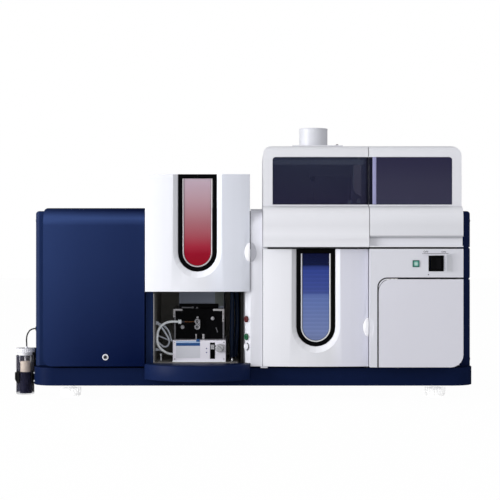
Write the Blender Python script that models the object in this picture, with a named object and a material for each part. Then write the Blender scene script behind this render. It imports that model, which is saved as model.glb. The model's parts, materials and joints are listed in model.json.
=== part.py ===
"""Atomic absorption spectrometer: a bench instrument with a flame section and a graphite furnace section.

Metres, +Z up, the operator stands at -Y. The origin is on the bench, at the centre of the overall box.
"""

import math

import bmesh
import bpy
from mathutils import Matrix, Vector

# Clearances, and the distance that a cut runs past what it cuts
gap = 0.0003
overrun = 0.01
join_overlap = 0.0015

# Widths across the front, from left to right
left_cover_width = 0.2538
flame_door_width = 0.2620
column_width = 0.0300
furnace_door_width = 0.2630
right_panel_width = 0.2317
panel_seam = 0.0015
left_overhang = 0.0315
right_overhang = 0.0350

# Depths, from the front of the shelf to the gas ports at the back
shelf_bulge = 0.090
front_depth = 0.080
body_depth = 0.480
port_reach = 0.014
face_proud = 0.030
base_setback = 0.012
covers_depth = 0.330

# Heights above the bench
foot_height = 0.034
base_height = 0.045
shadow_gap = 0.0045
door_height = 0.2935
cover_gap = 0.005
roll_height = 0.1025
window_band_height = 0.150
body_height = 0.395
left_cover_height = 0.397
column_height = 0.3945

# Drain bottle, which hangs on the left side
bottle_radius = 0.0240
bottle_wall = 0.0015
bottle_bottom = 0.004
bottle_height = 0.100
bottle_neck_radius = 0.0185
bottle_shoulder = 0.006
bottle_setback = 0.100
clip_band = 0.0022
clip_plate = 0.002
clip_bottom = 0.0325
clip_height = 0.0335
clip_plate_depth = 0.030
lid_height = 0.0182
lid_skirt = 0.008
float_radius = 0.0125
float_bore = 0.0026
float_bottom = 0.061
float_height = 0.028
stem_radius = 0.002
stem_collar_radius = 0.005
stem_collar_height = 0.003
drain_tube_radius = 0.0018
drain_port_height = 0.1725

# Overall places worked out from the widths, depths and heights
front_width = (left_cover_width + flame_door_width + column_width + furnace_door_width
               + right_panel_width + 4 * panel_seam)
body_width = left_overhang + front_width + right_overhang
bottle_zone = gap + clip_plate + 2 * (bottle_radius + gap + clip_band)
x_body_left = bottle_zone - (body_width + bottle_zone) / 2
x_body_right = x_body_left + body_width
x_cover_left = x_body_left + left_overhang
x_cover_right = x_cover_left + left_cover_width
x_flame_left = x_cover_right + panel_seam
x_flame_right = x_flame_left + flame_door_width
x_column_left = x_flame_right + panel_seam
x_column_right = x_column_left + column_width
x_furnace_left = x_column_right + panel_seam
x_furnace_right = x_furnace_left + furnace_door_width
x_panel_left = x_furnace_right + panel_seam
x_panel_right = x_panel_left + right_panel_width
overall_depth = shelf_bulge + front_depth + body_depth + port_reach
y_front = shelf_bulge - overall_depth / 2
y_face = y_front - face_proud
y_base = y_front + base_setback
y_body = y_front + front_depth
y_back = y_body + body_depth
y_covers_back = y_front + covers_depth
z_base_top = foot_height + base_height
z_panel_bottom = z_base_top + shadow_gap
z_door_top = z_panel_bottom + door_height
z_covers_bottom = z_door_top + cover_gap
z_roll_top = z_covers_bottom + roll_height
z_covers_top = z_roll_top + window_band_height
z_body_top = z_base_top + body_height
z_left_top = z_panel_bottom + left_cover_height
z_column_top = z_panel_bottom + column_height

# Base and feet
base_wall = 0.004
base_deck = 0.005
base_front_radius = 0.055
base_rear_radius = 0.012
foot_radius = 0.025
foot_pad_height = 0.020
foot_taper = 0.004
foot_stem_radius = 0.010
foot_inset_x = 0.090
foot_inset_y = 0.075

# Rear body shells
body_wall = 0.0035
body_top_radius = 0.010
body_front_radius = 0.012
sheet_wall = 0.003
groove_height = 0.003
groove_depth = 0.0022
fan_radius = 0.055
fan_spoke = 0.008
fan_boss_radius = 0.019
fan_side_distance = 0.190
fan_height = 0.300
vent_slot_height = 0.006
vent_slot_width = 0.110
vent_pitch = 0.016
vent_side_distance = 0.430
vent_low = 0.270
vent_count = 6
exhaust_hole_width = 0.130
exhaust_hole_depth = 0.130

# Left front cover and the socket in it
cover_wall = 0.003
top_fillet_radius = 0.045
left_low_corner_radius = 0.020
left_high_corner_radius = 0.008
socket_radius = 0.0078
socket_bore = 0.0034
socket_length = 0.018
socket_lip = 0.0015
socket_flange = 0.0012
socket_side_distance = 0.156
socket_height = 0.023

# Flame bay: fascia behind the door, liner, and the shelf in front
fascia_recess = 0.0125
fascia_wall = 0.004
jamb_width = 0.0188
strip_width = 0.0175
strip_depth = 0.0194
strip_start = 0.004
liner_wall = 0.002
liner_back_distance = 0.300
rail_width = 0.0065
shelf_thickness = 0.039
shelf_drop = 0.027
shelf_end_reach = 0.018
shelf_edge_bevel = 0.003

# Push buttons on the strip beside the bay
bezel_radius = 0.0105
bezel_proud = 0.0015
button_radius = 0.0080
button_clearance = 0.0004
button_proud = 0.0045
button_depth = 0.0105
button_travel = 0.003
red_button_height = 0.1175
green_button_height = 0.0730
white_button_height = 0.0490

# Doors, which share one design
door_edge = 0.005
door_bulge = 0.008
door_back = 0.0015
window_width = 0.0972
window_rise = 0.0500
window_band = 0.0108
bevel_width = 0.0158
bevel_depth = 0.0070
frame_proud = 0.0010
glass_recess = 0.0020
glass_thickness = 0.003
grip_width = 0.0138
grip_height = 0.047
grip_proud = 0.009
grip_rise = 0.0985
flame_door_raise = 0.1778
runner_height = 0.100
runner_rise = 0.006
runner_width = 0.010
door_hinge_inset = 0.006
hinge_lug_reach = 0.005
hinge_lug_height = 0.0035

# Covers over the furnace and the sampler
covers_left_radius = 0.020
covers_right_radius = 0.025
covers_edge_radius = 0.012
window_side_margin = 0.0235
window_top_margin = 0.0275
window_bottom_margin = 0.0035
window_corner_radius = 0.0075
window_pane = 0.003
finger_recess_low = 0.0025
finger_recess_height = 0.0235
finger_recess_depth = 0.0140
cover_rib_width = 0.010
cover_rib_setback = 0.009
cover_rib_depth = 0.008
hinge_barrel_radius = 0.005
hinge_barrel_length = 0.050
hinge_barrel_inset = 0.010
plate_width = 0.127
plate_setback = 0.014
plate_height = 0.0030
chimney_radius = 0.0375
chimney_wall = 0.002
chimney_height = 0.0605
chimney_flange = 0.010
chimney_flange_height = 0.003
chimney_side_distance = 0.137
chimney_back_distance = 0.080

# Right front panel, access door and power switch
access_left = 0.0215
access_header = 0.0750
access_radius = 0.031
access_pan_depth = 0.012
access_return = 0.060
access_barrel_radius = 0.003
access_strip_gap = 0.0065
switch_left = 0.1455
switch_width = 0.0372
switch_height = 0.0385
switch_top_margin = 0.0170
switch_proud = 0.003
switch_depth = 0.022
rocker_width = 0.0250
rocker_length = 0.0290
rocker_side_clearance = 0.0030
rocker_proud = 0.0030
rocker_body = 0.0080
rocker_angle_deg = 8.0
hood_width = 0.064
hood_height = 0.0025
hood_proud = 0.009
hood_rise = 0.0015
guard_distance = 0.004
lamp_left = 0.1060
lamp_size = 0.0163
lamp_drop = 0.0285
lamp_depth = 0.012
lamp_proud = 0.001

# Optics: the light runs along X, from the lamps to the monochromator
optic_depth = 0.170
optic_height = 0.193
optic_hole_radius = 0.015
monochromator_width = 0.200
monochromator_depth = 0.330
monochromator_height = 0.250
monochromator_side_gap = 0.024
monochromator_setback = 0.085
grating_well_radius = 0.045
grating_well_depth = 0.060
grating_table_radius = 0.040
grating_table_height = 0.012
grating_width = 0.050
grating_thickness = 0.010
grating_height = 0.040
grating_side_distance = 0.110
grating_setback = 0.240

# Burner: control box, magnet, shield, head and nebulizer
burner_box_left = 0.0476
burner_box_width = 0.1342
burner_box_front = 0.045
burner_box_depth = 0.200
burner_box_height = 0.0545
magnet_front = 0.095
magnet_width = 0.131
magnet_side_offset = 0.0031
magnet_depth = 0.150
magnet_height = 0.0777
shield_width = 0.116
shield_side_offset = 0.0035
shield_depth = 0.130
shield_height = 0.070
shield_wall = 0.002
burner_length = 0.100
burner_width = 0.020
burner_height = 0.022
burner_slot = 0.003
burner_slot_depth = 0.010
lever_slot_left = 0.0947
lever_slot_width = 0.0118
lever_slot_low = 0.0077
lever_slot_height = 0.0408
lever_slot_depth = 0.020
lever_width = 0.0090
lever_height = 0.0125
lever_top_margin = 0.0045
lever_proud = 0.012
lever_clearance = 0.0005
knob_side_distance = 0.1187
knob_height = 0.0354
knob_radius = 0.0108
knob_length = 0.016
knob_chamfer = 0.0015
nebulizer_side_distance = 0.0607
nebulizer_upper_drop = 0.0322
nebulizer_lower_drop = 0.0463
nebulizer_lobe_radius = 0.0080
nebulizer_lobe_length = 0.016
nebulizer_barrel_drop = 0.0330
nebulizer_barrel_radius = 0.0042
nebulizer_barrel_length = 0.0390
nebulizer_collar_radius = 0.0055
nebulizer_collar_length = 0.0105
sample_tube_radius = 0.0031
gas_hose_radius = 0.0060

# Furnace section: frame, magnet and graphite furnace
frame_wall = 0.003
frame_setback = 0.014
frame_hole_width = 0.090
frame_hole_depth = 0.090
furnace_magnet_width = 0.150
furnace_magnet_depth = 0.140
furnace_magnet_height = 0.240
furnace_magnet_slot = 0.070
furnace_magnet_floor = 0.1550
furnace_radius = 0.026
furnace_length = 0.060
furnace_bore = 0.005
furnace_foot_width = 0.036
furnace_foot_depth = 0.040

# Sampler on the deck
sampler_base_left = 0.030
sampler_base_width = 0.180
sampler_base_front = 0.055
sampler_base_depth = 0.180
sampler_base_height = 0.028
sampler_corner_radius = 0.020
turntable_radius = 0.080
turntable_height = 0.030
turntable_lip = 0.006
turntable_well = 0.024
turntable_hub_radius = 0.016
arm_column_size = 0.034
arm_column_height = 0.200
arm_length = 0.116
arm_beam_width = 0.018
arm_beam_height = 0.014
needle_radius = 0.0020
needle_length = 0.118

# Lamp turret
lamp_count = 8
lamp_radius = 0.0185
lamp_length = 0.145
turret_pitch_radius = 0.058
turret_radius = 0.085
turret_disc = 0.012
turret_shaft_radius = 0.012
turret_shaft_right = 0.010
turret_right_gap = 0.030
lamp_overlap = 0.004

# Fan, ports and power supply at the rear
fan_hub_radius = 0.020
fan_blade_reach = 0.050
fan_blade_width = 0.018
fan_blade_thickness = 0.003
fan_blade_angle_deg = 35.0
fan_blade_count = 7
fan_hub_depth = 0.024
port_plate_width = 0.130
port_plate_height = 0.045
port_plate_thickness = 0.004
port_plate_side_distance = 0.110
port_plate_low = 0.045
port_stub_radius = 0.0065
port_stub_bore = 0.003
port_stub_pitch = 0.040
supply_width = 0.170
supply_depth = 0.140
supply_height = 0.170
supply_side_gap = 0.030
supply_back_gap = 0.030

# Routes of the tubes between their ends, chosen by hand
drain_tube_offset = 0.003
drain_tube_route = [
    (-0.5540, -0.142, 0.133),
    (-0.5545, -0.142, 0.145),
    (-0.5525, -0.142, 0.157),
    (-0.5460, -0.142, 0.1675),
    (-0.5370, -0.142, 0.1720),
]
sample_tube_route = [
    (-0.1745, -0.1553, 0.1912),
    (-0.1860, -0.1560, 0.1905),
    (-0.1980, -0.1572, 0.1868),
    (-0.2078, -0.1590, 0.1795),
    (-0.2145, -0.1612, 0.1680),
    (-0.2170, -0.1640, 0.1530),
    (-0.2162, -0.1670, 0.1385),
    (-0.2110, -0.1695, 0.1268),
    (-0.2015, -0.1710, 0.1180),
    (-0.1910, -0.1718, 0.1118),
    (-0.1820, -0.1720, 0.1096),
]
sample_tube_end = (-0.1720, 0.1096)
gas_hose_foot = (-0.0180, -0.0920)
gas_hose_route = [
    (-0.0165, -0.0920, 0.120),
    (-0.0130, -0.0920, 0.165),
    (-0.0125, -0.0915, 0.215),
    (-0.0150, -0.0890, 0.265),
    (-0.0190, -0.0800, 0.315),
    (-0.0210, -0.0600, 0.357),
    (-0.0215, -0.0250, 0.388),
    (-0.0215, 0.0150, 0.399),
]
gas_hose_end = (-0.0215, 0.401)

# Facets on round pieces
corner_steps = 5
fillet_steps = 8
arc_steps = 12
round_steps = 24
small_round_steps = 14
cord_steps = 3


def material(name, color, roughness, metallic=0.0, alpha=1.0):
    """A Principled material with the colour as linear red, green and blue."""
    made = bpy.data.materials.new(name)
    made.use_nodes = True
    shader = made.node_tree.nodes["Principled BSDF"]
    shader.inputs["Base Color"].default_value = (*color, 1.0)
    shader.inputs["Roughness"].default_value = roughness
    shader.inputs["Metallic"].default_value = metallic
    shader.inputs["Alpha"].default_value = alpha
    return made


def placed(name, bm, finish=None):
    """An object made from a bmesh, with its faces turned outwards."""
    bmesh.ops.recalc_face_normals(bm, faces=bm.faces)
    mesh = bpy.data.meshes.new(name)
    bm.to_mesh(mesh)
    bm.free()
    made = bpy.data.objects.new(name, mesh)
    bpy.context.scene.collection.objects.link(made)
    if finish:
        made.data.materials.append(finish)
    return made


def loft(name, rings, finish=None, closed=False):
    """A skin over rings of points, capped at both ends, or joined end to end when closed."""
    bm = bmesh.new()
    rows = [[bm.verts.new(point) for point in ring] for ring in rings]
    pairs = list(zip(rows, rows[1:]))
    if closed:
        pairs.append((rows[-1], rows[0]))
    for first, second in pairs:
        count = len(first)
        for i in range(count):
            j = (i + 1) % count
            bm.faces.new((first[i], first[j], second[j], second[i]))
    if not closed:
        bm.faces.new(rows[0])
        bm.faces.new(rows[-1])
    return placed(name, bm, finish)


def prism(name, outline, axis, start, end, finish=None):
    """An outline drawn across an axis and pushed along it from start to end."""
    order = {
        "x": lambda a, b, along: (along, a, b),
        "y": lambda a, b, along: (a, along, b),
        "z": lambda a, b, along: (a, b, along),
    }[axis]
    return loft(name, [[order(a, b, along) for a, b in outline] for along in (start, end)], finish)


def block(name, low, high, finish=None):
    """A plain block between two opposite corners."""
    outline = [(low[0], low[1]), (high[0], low[1]), (high[0], high[1]), (low[0], high[1])]
    return prism(name, outline, "z", low[2], high[2], finish)


def turned(name, profile, centre, direction, finish=None, steps=round_steps, closed=False):
    """A profile of (radius, distance) turned round an axis through centre."""
    turn = Vector((0, 0, 1)).rotation_difference(Vector(direction).normalized()).to_matrix()
    rings = []
    for radius, along in profile:
        ring = []
        for i in range(steps):
            angle = 2 * math.pi * i / steps
            local = Vector((radius * math.cos(angle), radius * math.sin(angle), along))
            ring.append(turn @ local + Vector(centre))
        rings.append(ring)
    return loft(name, rings, finish, closed)


def rod(name, radius, start, end, finish=None, steps=round_steps):
    """A round rod between two points."""
    along = Vector(end) - Vector(start)
    return turned(name, [(radius, 0), (radius, along.length)], start, along, finish, steps)


def arc(centre, radius, start_deg, end_deg, steps):
    """Points of an arc in a plane, both ends included."""
    points = []
    for i in range(steps + 1):
        angle = math.radians(start_deg + (end_deg - start_deg) * i / steps)
        points.append((centre[0] + radius * math.cos(angle), centre[1] + radius * math.sin(angle)))
    return points


def rounded_box(low, high, radii, steps=corner_steps):
    """A rectangle's outline with its own radius at each corner, from low-low round to low-high."""
    corners = [
        (low[0], low[1], 1, 1, 180),
        (high[0], low[1], -1, 1, 270),
        (high[0], high[1], -1, -1, 0),
        (low[0], high[1], 1, -1, 90),
    ]
    points = []
    for (a, b, inward_a, inward_b, start), radius in zip(corners, radii):
        if radius <= 0:
            points.append((a, b))
            continue
        points += arc((a + inward_a * radius, b + inward_b * radius), radius, start, start + 90, steps)
    return points


def bowed(start, end, level, rise, steps=arc_steps):
    """Points of a shallow arc from start to end along the first axis that rises by rise to one side."""
    half = (end - start) / 2
    middle = start + half
    radius = (half * half + rise * rise) / (2 * abs(rise))
    side = math.copysign(1, rise)
    points = []
    for i in range(steps + 1):
        along = start + (end - start) * i / steps
        height = math.sqrt(radius * radius - (along - middle) ** 2) - (radius - abs(rise))
        points.append((along, level + side * height))
    return points


def helper(made):
    """Marks an object as a tool that shapes others and isn't a piece itself."""
    made.hide_render = True
    made.display_type = "WIRE"
    return made


def boolean(target, other, operation):
    step = target.modifiers.new(operation.lower(), "BOOLEAN")
    step.operation = operation
    step.solver = "EXACT"
    step.object = helper(other)


def carve(target, *others):
    """Cuts each other shape out of the target."""
    for other in others:
        boolean(target, other, "DIFFERENCE")
    return target


def weld(target, *others):
    """Joins each other shape to the target."""
    for other in others:
        boolean(target, other, "UNION")
    return target


def trim(target, other):
    """Keeps of the target what lies inside the other shape."""
    boolean(target, other, "INTERSECT")
    return target


def pivot(made, point):
    """Puts the object's origin on its joint's axis without moving its shape."""
    made.data.transform(Matrix.Translation(-Vector(point)))
    made.location = point
    return made


def cord(name, points, radius, finish, resolution=2):
    """A round tube along a smooth curve through the route's points."""
    route = [Vector(point) for point in points]
    smooth = []
    for i in range(len(route) - 1):
        before = route[max(i - 1, 0)]
        start, end = route[i], route[i + 1]
        after = route[min(i + 2, len(route) - 1)]
        for step in range(cord_steps):
            t = step / cord_steps
            smooth.append(0.5 * (2 * start + (end - before) * t
                                 + (2 * before - 5 * start + 4 * end - after) * t ** 2
                                 + (3 * start - before - 3 * end + after) * t ** 3))
    smooth.append(route[-1])
    curve = bpy.data.curves.new(name, "CURVE")
    curve.dimensions = "3D"
    curve.bevel_depth = radius
    curve.bevel_resolution = resolution
    curve.use_fill_caps = True
    spline = curve.splines.new("POLY")
    spline.points.add(len(smooth) - 1)
    for held, point in zip(spline.points, smooth):
        held.co = (*point, 1.0)
    made = bpy.data.objects.new(name, curve)
    bpy.context.scene.collection.objects.link(made)
    curve.materials.append(finish)
    return made


# Places that several pieces share
y_fascia = y_front + fascia_recess
y_liner_front = y_fascia + fascia_wall + gap
y_liner_back = y_front + liner_back_distance
y_riser = y_covers_back + panel_seam
y_optic = y_front + optic_depth
z_optic = z_base_top + optic_height
z_inside = z_base_top + gap
z_shelf_top = z_base_top - shelf_drop + shelf_thickness
z_flame_closed = z_shelf_top + panel_seam
z_flame_door = z_flame_closed + flame_door_raise
z_panel_top = z_door_top + gap
z_deck_top = z_covers_bottom - gap
z_deck_low = z_deck_top - frame_wall
x_jamb_right = x_flame_left + jamb_width
x_strip_left = x_column_left - strip_width
x_liner_left = x_jamb_right + gap
x_liner_right = x_strip_left - gap
x_furnace_middle = (x_furnace_left + x_furnace_right) / 2
z_access_top = z_door_top - access_header
clip_radius = bottle_radius + gap + clip_band
x_bottle = x_body_left - gap - clip_plate - clip_radius
y_bottle = y_front + bottle_setback
z_lid = bottle_bottom + bottle_height + gap
strip_length = math.hypot(strip_width, strip_depth)
strip_out = Vector((-strip_depth, -strip_width, 0)) / strip_length


def base_plinth(finish):
    """The tray that everything stands on, open underneath."""
    radii = (base_front_radius, base_front_radius, base_rear_radius, base_rear_radius)
    outline = rounded_box((x_body_left, y_base), (x_body_right, y_back), radii)
    plinth = prism("base_plinth", outline, "z", foot_height, z_base_top, finish)
    inner_radii = [radius - base_wall for radius in radii]
    inner = rounded_box((x_body_left + base_wall, y_base + base_wall),
                        (x_body_right - base_wall, y_back - base_wall), inner_radii)
    hollow = prism("plinth_hollow", inner, "z", foot_height - overrun, z_base_top - base_deck)
    return carve(plinth, hollow)


def feet(finish):
    """Four levelling feet, each with a stem that reaches up to the underside of the deck."""
    under_deck = z_base_top - base_deck - gap
    profile = [
        (foot_radius - foot_taper, 0),
        (foot_radius, foot_taper),
        (foot_radius, foot_pad_height),
        (foot_stem_radius, foot_pad_height + foot_taper),
        (foot_stem_radius, under_deck),
    ]
    sides = {"left": x_body_left + foot_inset_x, "right": x_body_right - foot_inset_x}
    ends = {"front": y_base + foot_inset_y, "rear": y_back - foot_inset_y}
    for end, y in ends.items():
        for side, x in sides.items():
            turned(f"foot_{end}_{side}", profile, (x, y, 0), (0, 0, 1), finish, small_round_steps)


def side_panel(name, x_outer, x_inner, finish):
    """A side wall with the strips of front and top that turn in from it."""
    faces_left = x_outer < x_inner
    left, right = min(x_outer, x_inner), max(x_outer, x_inner)
    far = y_back - sheet_wall - gap
    top_radii = (0, 0, 0, body_top_radius) if faces_left else (0, 0, body_top_radius, 0)
    plan_radii = (body_front_radius, 0, 0, 0) if faces_left else (0, body_front_radius, 0, 0)
    across = rounded_box((left, z_inside), (right, z_body_top), top_radii)
    plan = rounded_box((left, y_body), (right, far), plan_radii)
    panel = prism(name, across, "y", y_body, far, finish)
    trim(panel, prism(f"{name}_plan", plan, "z", z_inside - overrun, z_body_top + overrun))
    hollow_left = left + body_wall if faces_left else left - overrun
    hollow_right = right + overrun if faces_left else right - body_wall
    hollow = block(f"{name}_hollow", (hollow_left, y_body + body_wall, z_inside - overrun),
                   (hollow_right, far + overrun, z_body_top - body_wall))
    return carve(panel, hollow)


def right_grooves():
    """Cutters for the two grooves that carry the front's seams round the right side."""
    cutters = []
    for middle in (z_door_top + cover_gap / 2, z_access_top + panel_seam / 2):
        low, high = middle - groove_height / 2, middle + groove_height / 2
        side = block("groove_side", (x_body_right - groove_depth, y_body - overrun, low),
                     (x_body_right + overrun, y_back + overrun, high))
        front = block("groove_front", (x_panel_right - overrun, y_body - overrun, low),
                      (x_body_right + overrun, y_body + groove_depth, high))
        cutters += [side, front]
    return cutters


def top_panel(finish):
    """The rear body's top, which steps back behind the covers and turns down there as a riser."""
    left = x_cover_left
    right = x_panel_right
    far = y_back - sheet_wall - gap
    low = z_body_top - sheet_wall
    outline = [(left, y_body), (x_column_right, y_body), (x_column_right, y_riser), (right, y_riser),
               (right, far), (left, far)]
    panel = prism("top_panel", outline, "z", low, z_body_top, finish)
    riser = block("riser", (x_column_right, y_riser, z_deck_low), (right, y_riser + sheet_wall, z_body_top))
    middle = (x_flame_left + x_flame_right) / 2
    vent = block("exhaust_hole",
                 (middle - exhaust_hole_width / 2, y_optic - exhaust_hole_depth / 2, low - overrun),
                 (middle + exhaust_hole_width / 2, y_optic + exhaust_hole_depth / 2, z_body_top + overrun))
    weld(panel, riser)
    return carve(panel, vent)


def back_panel(finish):
    """The back, with a fan guard and a group of vent slots."""
    near = y_back - sheet_wall
    outline = rounded_box((x_body_left, z_inside), (x_body_right, z_body_top),
                          (0, 0, body_top_radius, body_top_radius))
    panel = prism("back_panel", outline, "y", near, y_back, finish)
    x, z = x_body_right - fan_side_distance, fan_height
    carve(panel, rod("fan_hole", fan_radius, (x, near - overrun, z), (x, y_back + overrun, z)))
    reach = fan_radius + join_overlap
    upright = block("fan_upright", (x - fan_spoke / 2, near, z - reach), (x + fan_spoke / 2, y_back, z + reach))
    level = block("fan_level", (x - reach, near, z - fan_spoke / 2), (x + reach, y_back, z + fan_spoke / 2))
    weld(panel, upright, level, rod("fan_boss", fan_boss_radius, (x, near, z), (x, y_back, z)))
    left = x_body_left + vent_side_distance
    for i in range(vent_count):
        low = vent_low + i * vent_pitch
        carve(panel, block("vent_slot", (left, near - overrun, low),
                           (left + vent_slot_width, y_back + overrun, low + vent_slot_height)))
    return panel


def left_cover_form(name, inset, finish=None):
    """The left cover's form, drawn in by inset and open at the back when it is."""
    past = overrun if inset else 0
    low, high = z_panel_bottom + inset, z_left_top - inset
    left, right = x_cover_left + inset, x_cover_right - inset
    far = y_body - gap + past
    side = rounded_box((y_front + inset, low), (far, high), (0, 0, 0, top_fillet_radius - inset), fillet_steps)
    face = rounded_box((left, low), (right, high),
                       (left_low_corner_radius - inset, 0, 0, left_high_corner_radius - inset))
    form = prism(name, side, "x", left, right, finish)
    return trim(form, prism(f"{name}_face", face, "y", y_front - overrun, far + overrun))


def left_front_cover(finish):
    cover = left_cover_form("left_front_cover", 0, finish)
    x, z = x_cover_left + socket_side_distance, z_panel_bottom + socket_height
    hole = rod("socket_hole", socket_radius - socket_flange + gap, (x, y_front - overrun, z),
               (x, y_front + overrun, z))
    return carve(cover, left_cover_form("left_cover_hollow", cover_wall), hole)


def front_socket(finish):
    """The small round socket low on the left cover."""
    x, z = x_cover_left + socket_side_distance, z_panel_bottom + socket_height
    body = socket_radius - socket_flange
    profile = [
        (socket_bore, -socket_lip),
        (socket_radius, -socket_lip),
        (socket_radius, -gap),
        (body, -gap),
        (body, socket_length),
        (socket_bore, socket_length),
    ]
    return turned("front_socket", profile, (x, y_front, z), (0, 1, 0), finish, small_round_steps, closed=True)


def bay_fascia(finish):
    """The set-back panel that the flame door slides over: a jamb on the left and a panel above."""
    outline = [(x_flame_left, z_panel_bottom), (x_jamb_right, z_panel_bottom), (x_jamb_right, z_door_top),
               (x_flame_right, z_door_top), (x_flame_right, z_left_top), (x_flame_left, z_left_top)]
    far = y_body - gap
    fascia = prism("bay_fascia", outline, "y", y_fascia, far, finish)
    radius = top_fillet_radius - fascia_recess
    side = rounded_box((y_fascia, z_panel_bottom - overrun), (far + overrun, z_left_top), (0, 0, 0, radius),
                       fillet_steps)
    inner = rounded_box((y_fascia + fascia_wall, z_panel_bottom - overrun),
                        (far + overrun, z_left_top - fascia_wall), (0, 0, 0, radius - fascia_wall), fillet_steps)
    past_left, past_right = x_flame_left - overrun, x_flame_right + overrun
    trim(fascia, prism("fascia_side", side, "x", past_left, past_right))
    return carve(fascia, prism("fascia_hollow", inner, "x", past_left, past_right))


def bay_liner(finish):
    """The dark sheet lining of the flame bay, open in front and above, with the door's rail on its right."""
    high = z_body_top - sheet_wall - gap
    left, right = x_liner_left, x_liner_right
    liner = block("bay_liner", (left, y_liner_front, z_inside), (right, y_liner_back, high), finish)
    inner_left, inner_right = left + liner_wall, right - liner_wall
    inner_back = y_liner_back - liner_wall
    room = block("bay_room", (inner_left, y_liner_front - overrun, z_shelf_top),
                 (inner_right, inner_back, high + overrun))
    under = block("bay_under", (inner_left, y_liner_front - overrun, z_inside - overrun),
                  (inner_right, inner_back, z_shelf_top - liner_wall))
    relief = block("fascia_relief", (left - overrun, y_liner_front - overrun, z_left_top - top_fillet_radius),
                   (right + overrun, y_front + top_fillet_radius, high + overrun))
    carve(liner, room, under, relief)
    rail = block("door_rail", (right - rail_width, y_liner_front, z_inside),
                 (right, y_liner_front + fascia_wall, z_door_top))
    weld(liner, rail)
    return carve(liner, rod("bay_sight", optic_hole_radius, (left - overrun, y_optic, z_optic),
                            (right + overrun, y_optic, z_optic), steps=small_round_steps))


def front_shelf(finish):
    """The curved shelf below the flame bay."""
    low = z_base_top - shelf_drop
    front = bowed(x_flame_left, x_flame_right, y_front - shelf_end_reach, shelf_end_reach - shelf_bulge)
    outline = front + [(x_flame_right, y_base - gap), (x_flame_left, y_base - gap)]
    shelf = prism("front_shelf", outline, "z", low, z_shelf_top, finish)
    edge = shelf.modifiers.new("edge", "BEVEL")
    edge.width = shelf_edge_bevel
    edge.segments = 2
    edge.limit_method = "ANGLE"
    edge.angle_limit = math.radians(40)
    return shelf


def on_strip(height, out):
    """A point over the middle of the button strip, at a height above the panel's bottom."""
    middle = Vector((x_column_left - strip_width / 2, y_front + strip_start + strip_depth / 2,
                     z_panel_bottom + height))
    return middle + strip_out * out


def center_column(finish):
    """The white column between the bays, with the slanted button strip facing the burner."""
    outline = [
        (x_column_left, y_front),
        (x_column_right, y_front),
        (x_column_right, y_body - gap),
        (x_strip_left, y_body - gap),
        (x_strip_left, y_front + strip_start + strip_depth),
        (x_column_left, y_front + strip_start),
    ]
    column = prism("center_column", outline, "z", z_panel_bottom, z_column_top, finish)
    side = rounded_box((y_front, z_panel_bottom - overrun), (y_body + overrun, z_column_top),
                       (0, 0, 0, top_fillet_radius), fillet_steps)
    trim(column, prism("column_side", side, "x", x_strip_left - overrun, x_column_right + overrun))
    for low, high in ((z_panel_bottom - overrun, z_shelf_top + gap), (z_door_top - gap, z_column_top + overrun)):
        carve(column, block("strip_end", (x_strip_left - overrun, y_front - overrun, low),
                            (x_column_left, y_body + overrun, high)))
    x_hinge, y_hinge = furnace_hinge()
    low_lug = z_panel_bottom - gap - hinge_lug_height
    for low in (low_lug, z_door_top + gap):
        weld(column, block("hinge_lug", (x_column_right - hinge_lug_reach, y_hinge, low),
                           (x_hinge + hinge_lug_reach, y_hinge + hinge_lug_reach, low + hinge_lug_height)))
    weld(column, block("lug_root", (x_column_right - hinge_lug_reach + gap, y_front + gap, low_lug + join_overlap),
                       (x_column_right - gap, y_hinge + hinge_lug_reach - gap, z_panel_bottom + join_overlap)))
    for height in (red_button_height, green_button_height, white_button_height):
        weld(column, rod("bezel", bezel_radius, on_strip(height, -join_overlap), on_strip(height, bezel_proud)))
        carve(column, rod("button_pocket", button_radius + button_clearance,
                          on_strip(height, -button_depth - button_travel - button_clearance),
                          on_strip(height, overrun)))
    return column


def push_button(name, height, finish):
    """A button that slides square to the strip."""
    button = rod(name, button_radius, on_strip(height, -button_depth), on_strip(height, button_proud), finish)
    return pivot(button, on_strip(height, 0))


def u_outline(middle, half, z_round, top):
    """A flat-topped outline with a half-round bottom."""
    return arc((middle, z_round), half, 180, 360, arc_steps) + [(middle + half, top), (middle - half, top)]


def door_levels(low):
    """The middle of a door window's round end, and the depths of its crown, frame and back."""
    z_round = low + window_rise + window_width / 2
    back = y_front + door_back
    crown = back - door_edge - door_bulge
    return z_round, back, crown, crown + bevel_depth - frame_proud


def door_shell(name, left, right, low, finish):
    """A door that bows forward, notched from its top edge for the window, with a grip on its right."""
    z_round, back, crown, _ = door_levels(low)
    middle, half = (left + right) / 2, window_width / 2
    face = back - door_edge
    outline = bowed(left, right, face, -door_bulge) + [(right, back), (left, back)]
    door = prism(name, outline, "z", low, low + door_height, finish)
    grip_middle = low + grip_rise
    grip_outline = []
    for i in range(arc_steps + 1):
        angle = math.radians(90 + 180 * i / arc_steps)
        grip_outline.append((right + grip_width * math.cos(angle),
                             grip_middle + grip_height / 2 * math.sin(angle)))
    weld(door, prism(f"{name}_grip", grip_outline, "y", face - grip_proud, back - join_overlap))
    top = low + door_height + overrun
    rings = []
    spread = bevel_width * (1 + overrun / bevel_depth)
    for offset, y in ((spread, crown - overrun), (0, crown + bevel_depth), (0, back + overrun)):
        rings.append([(x, y, z) for x, z in u_outline(middle, half + offset, z_round, top + offset)])
    return carve(door, loft(f"{name}_bevel", rings))


def door_frame(name, left, right, low, finish):
    """The black frame round a door's window."""
    z_round, back, _, front = door_levels(low)
    middle, half = (left + right) / 2, window_width / 2
    top = low + door_height
    frame = prism(name, u_outline(middle, half - gap, z_round, top), "y", front, back, finish)
    hole = u_outline(middle, half - window_band, z_round, top - window_band)
    return carve(frame, prism(f"{name}_hole", hole, "y", front - overrun, back + overrun))


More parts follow.
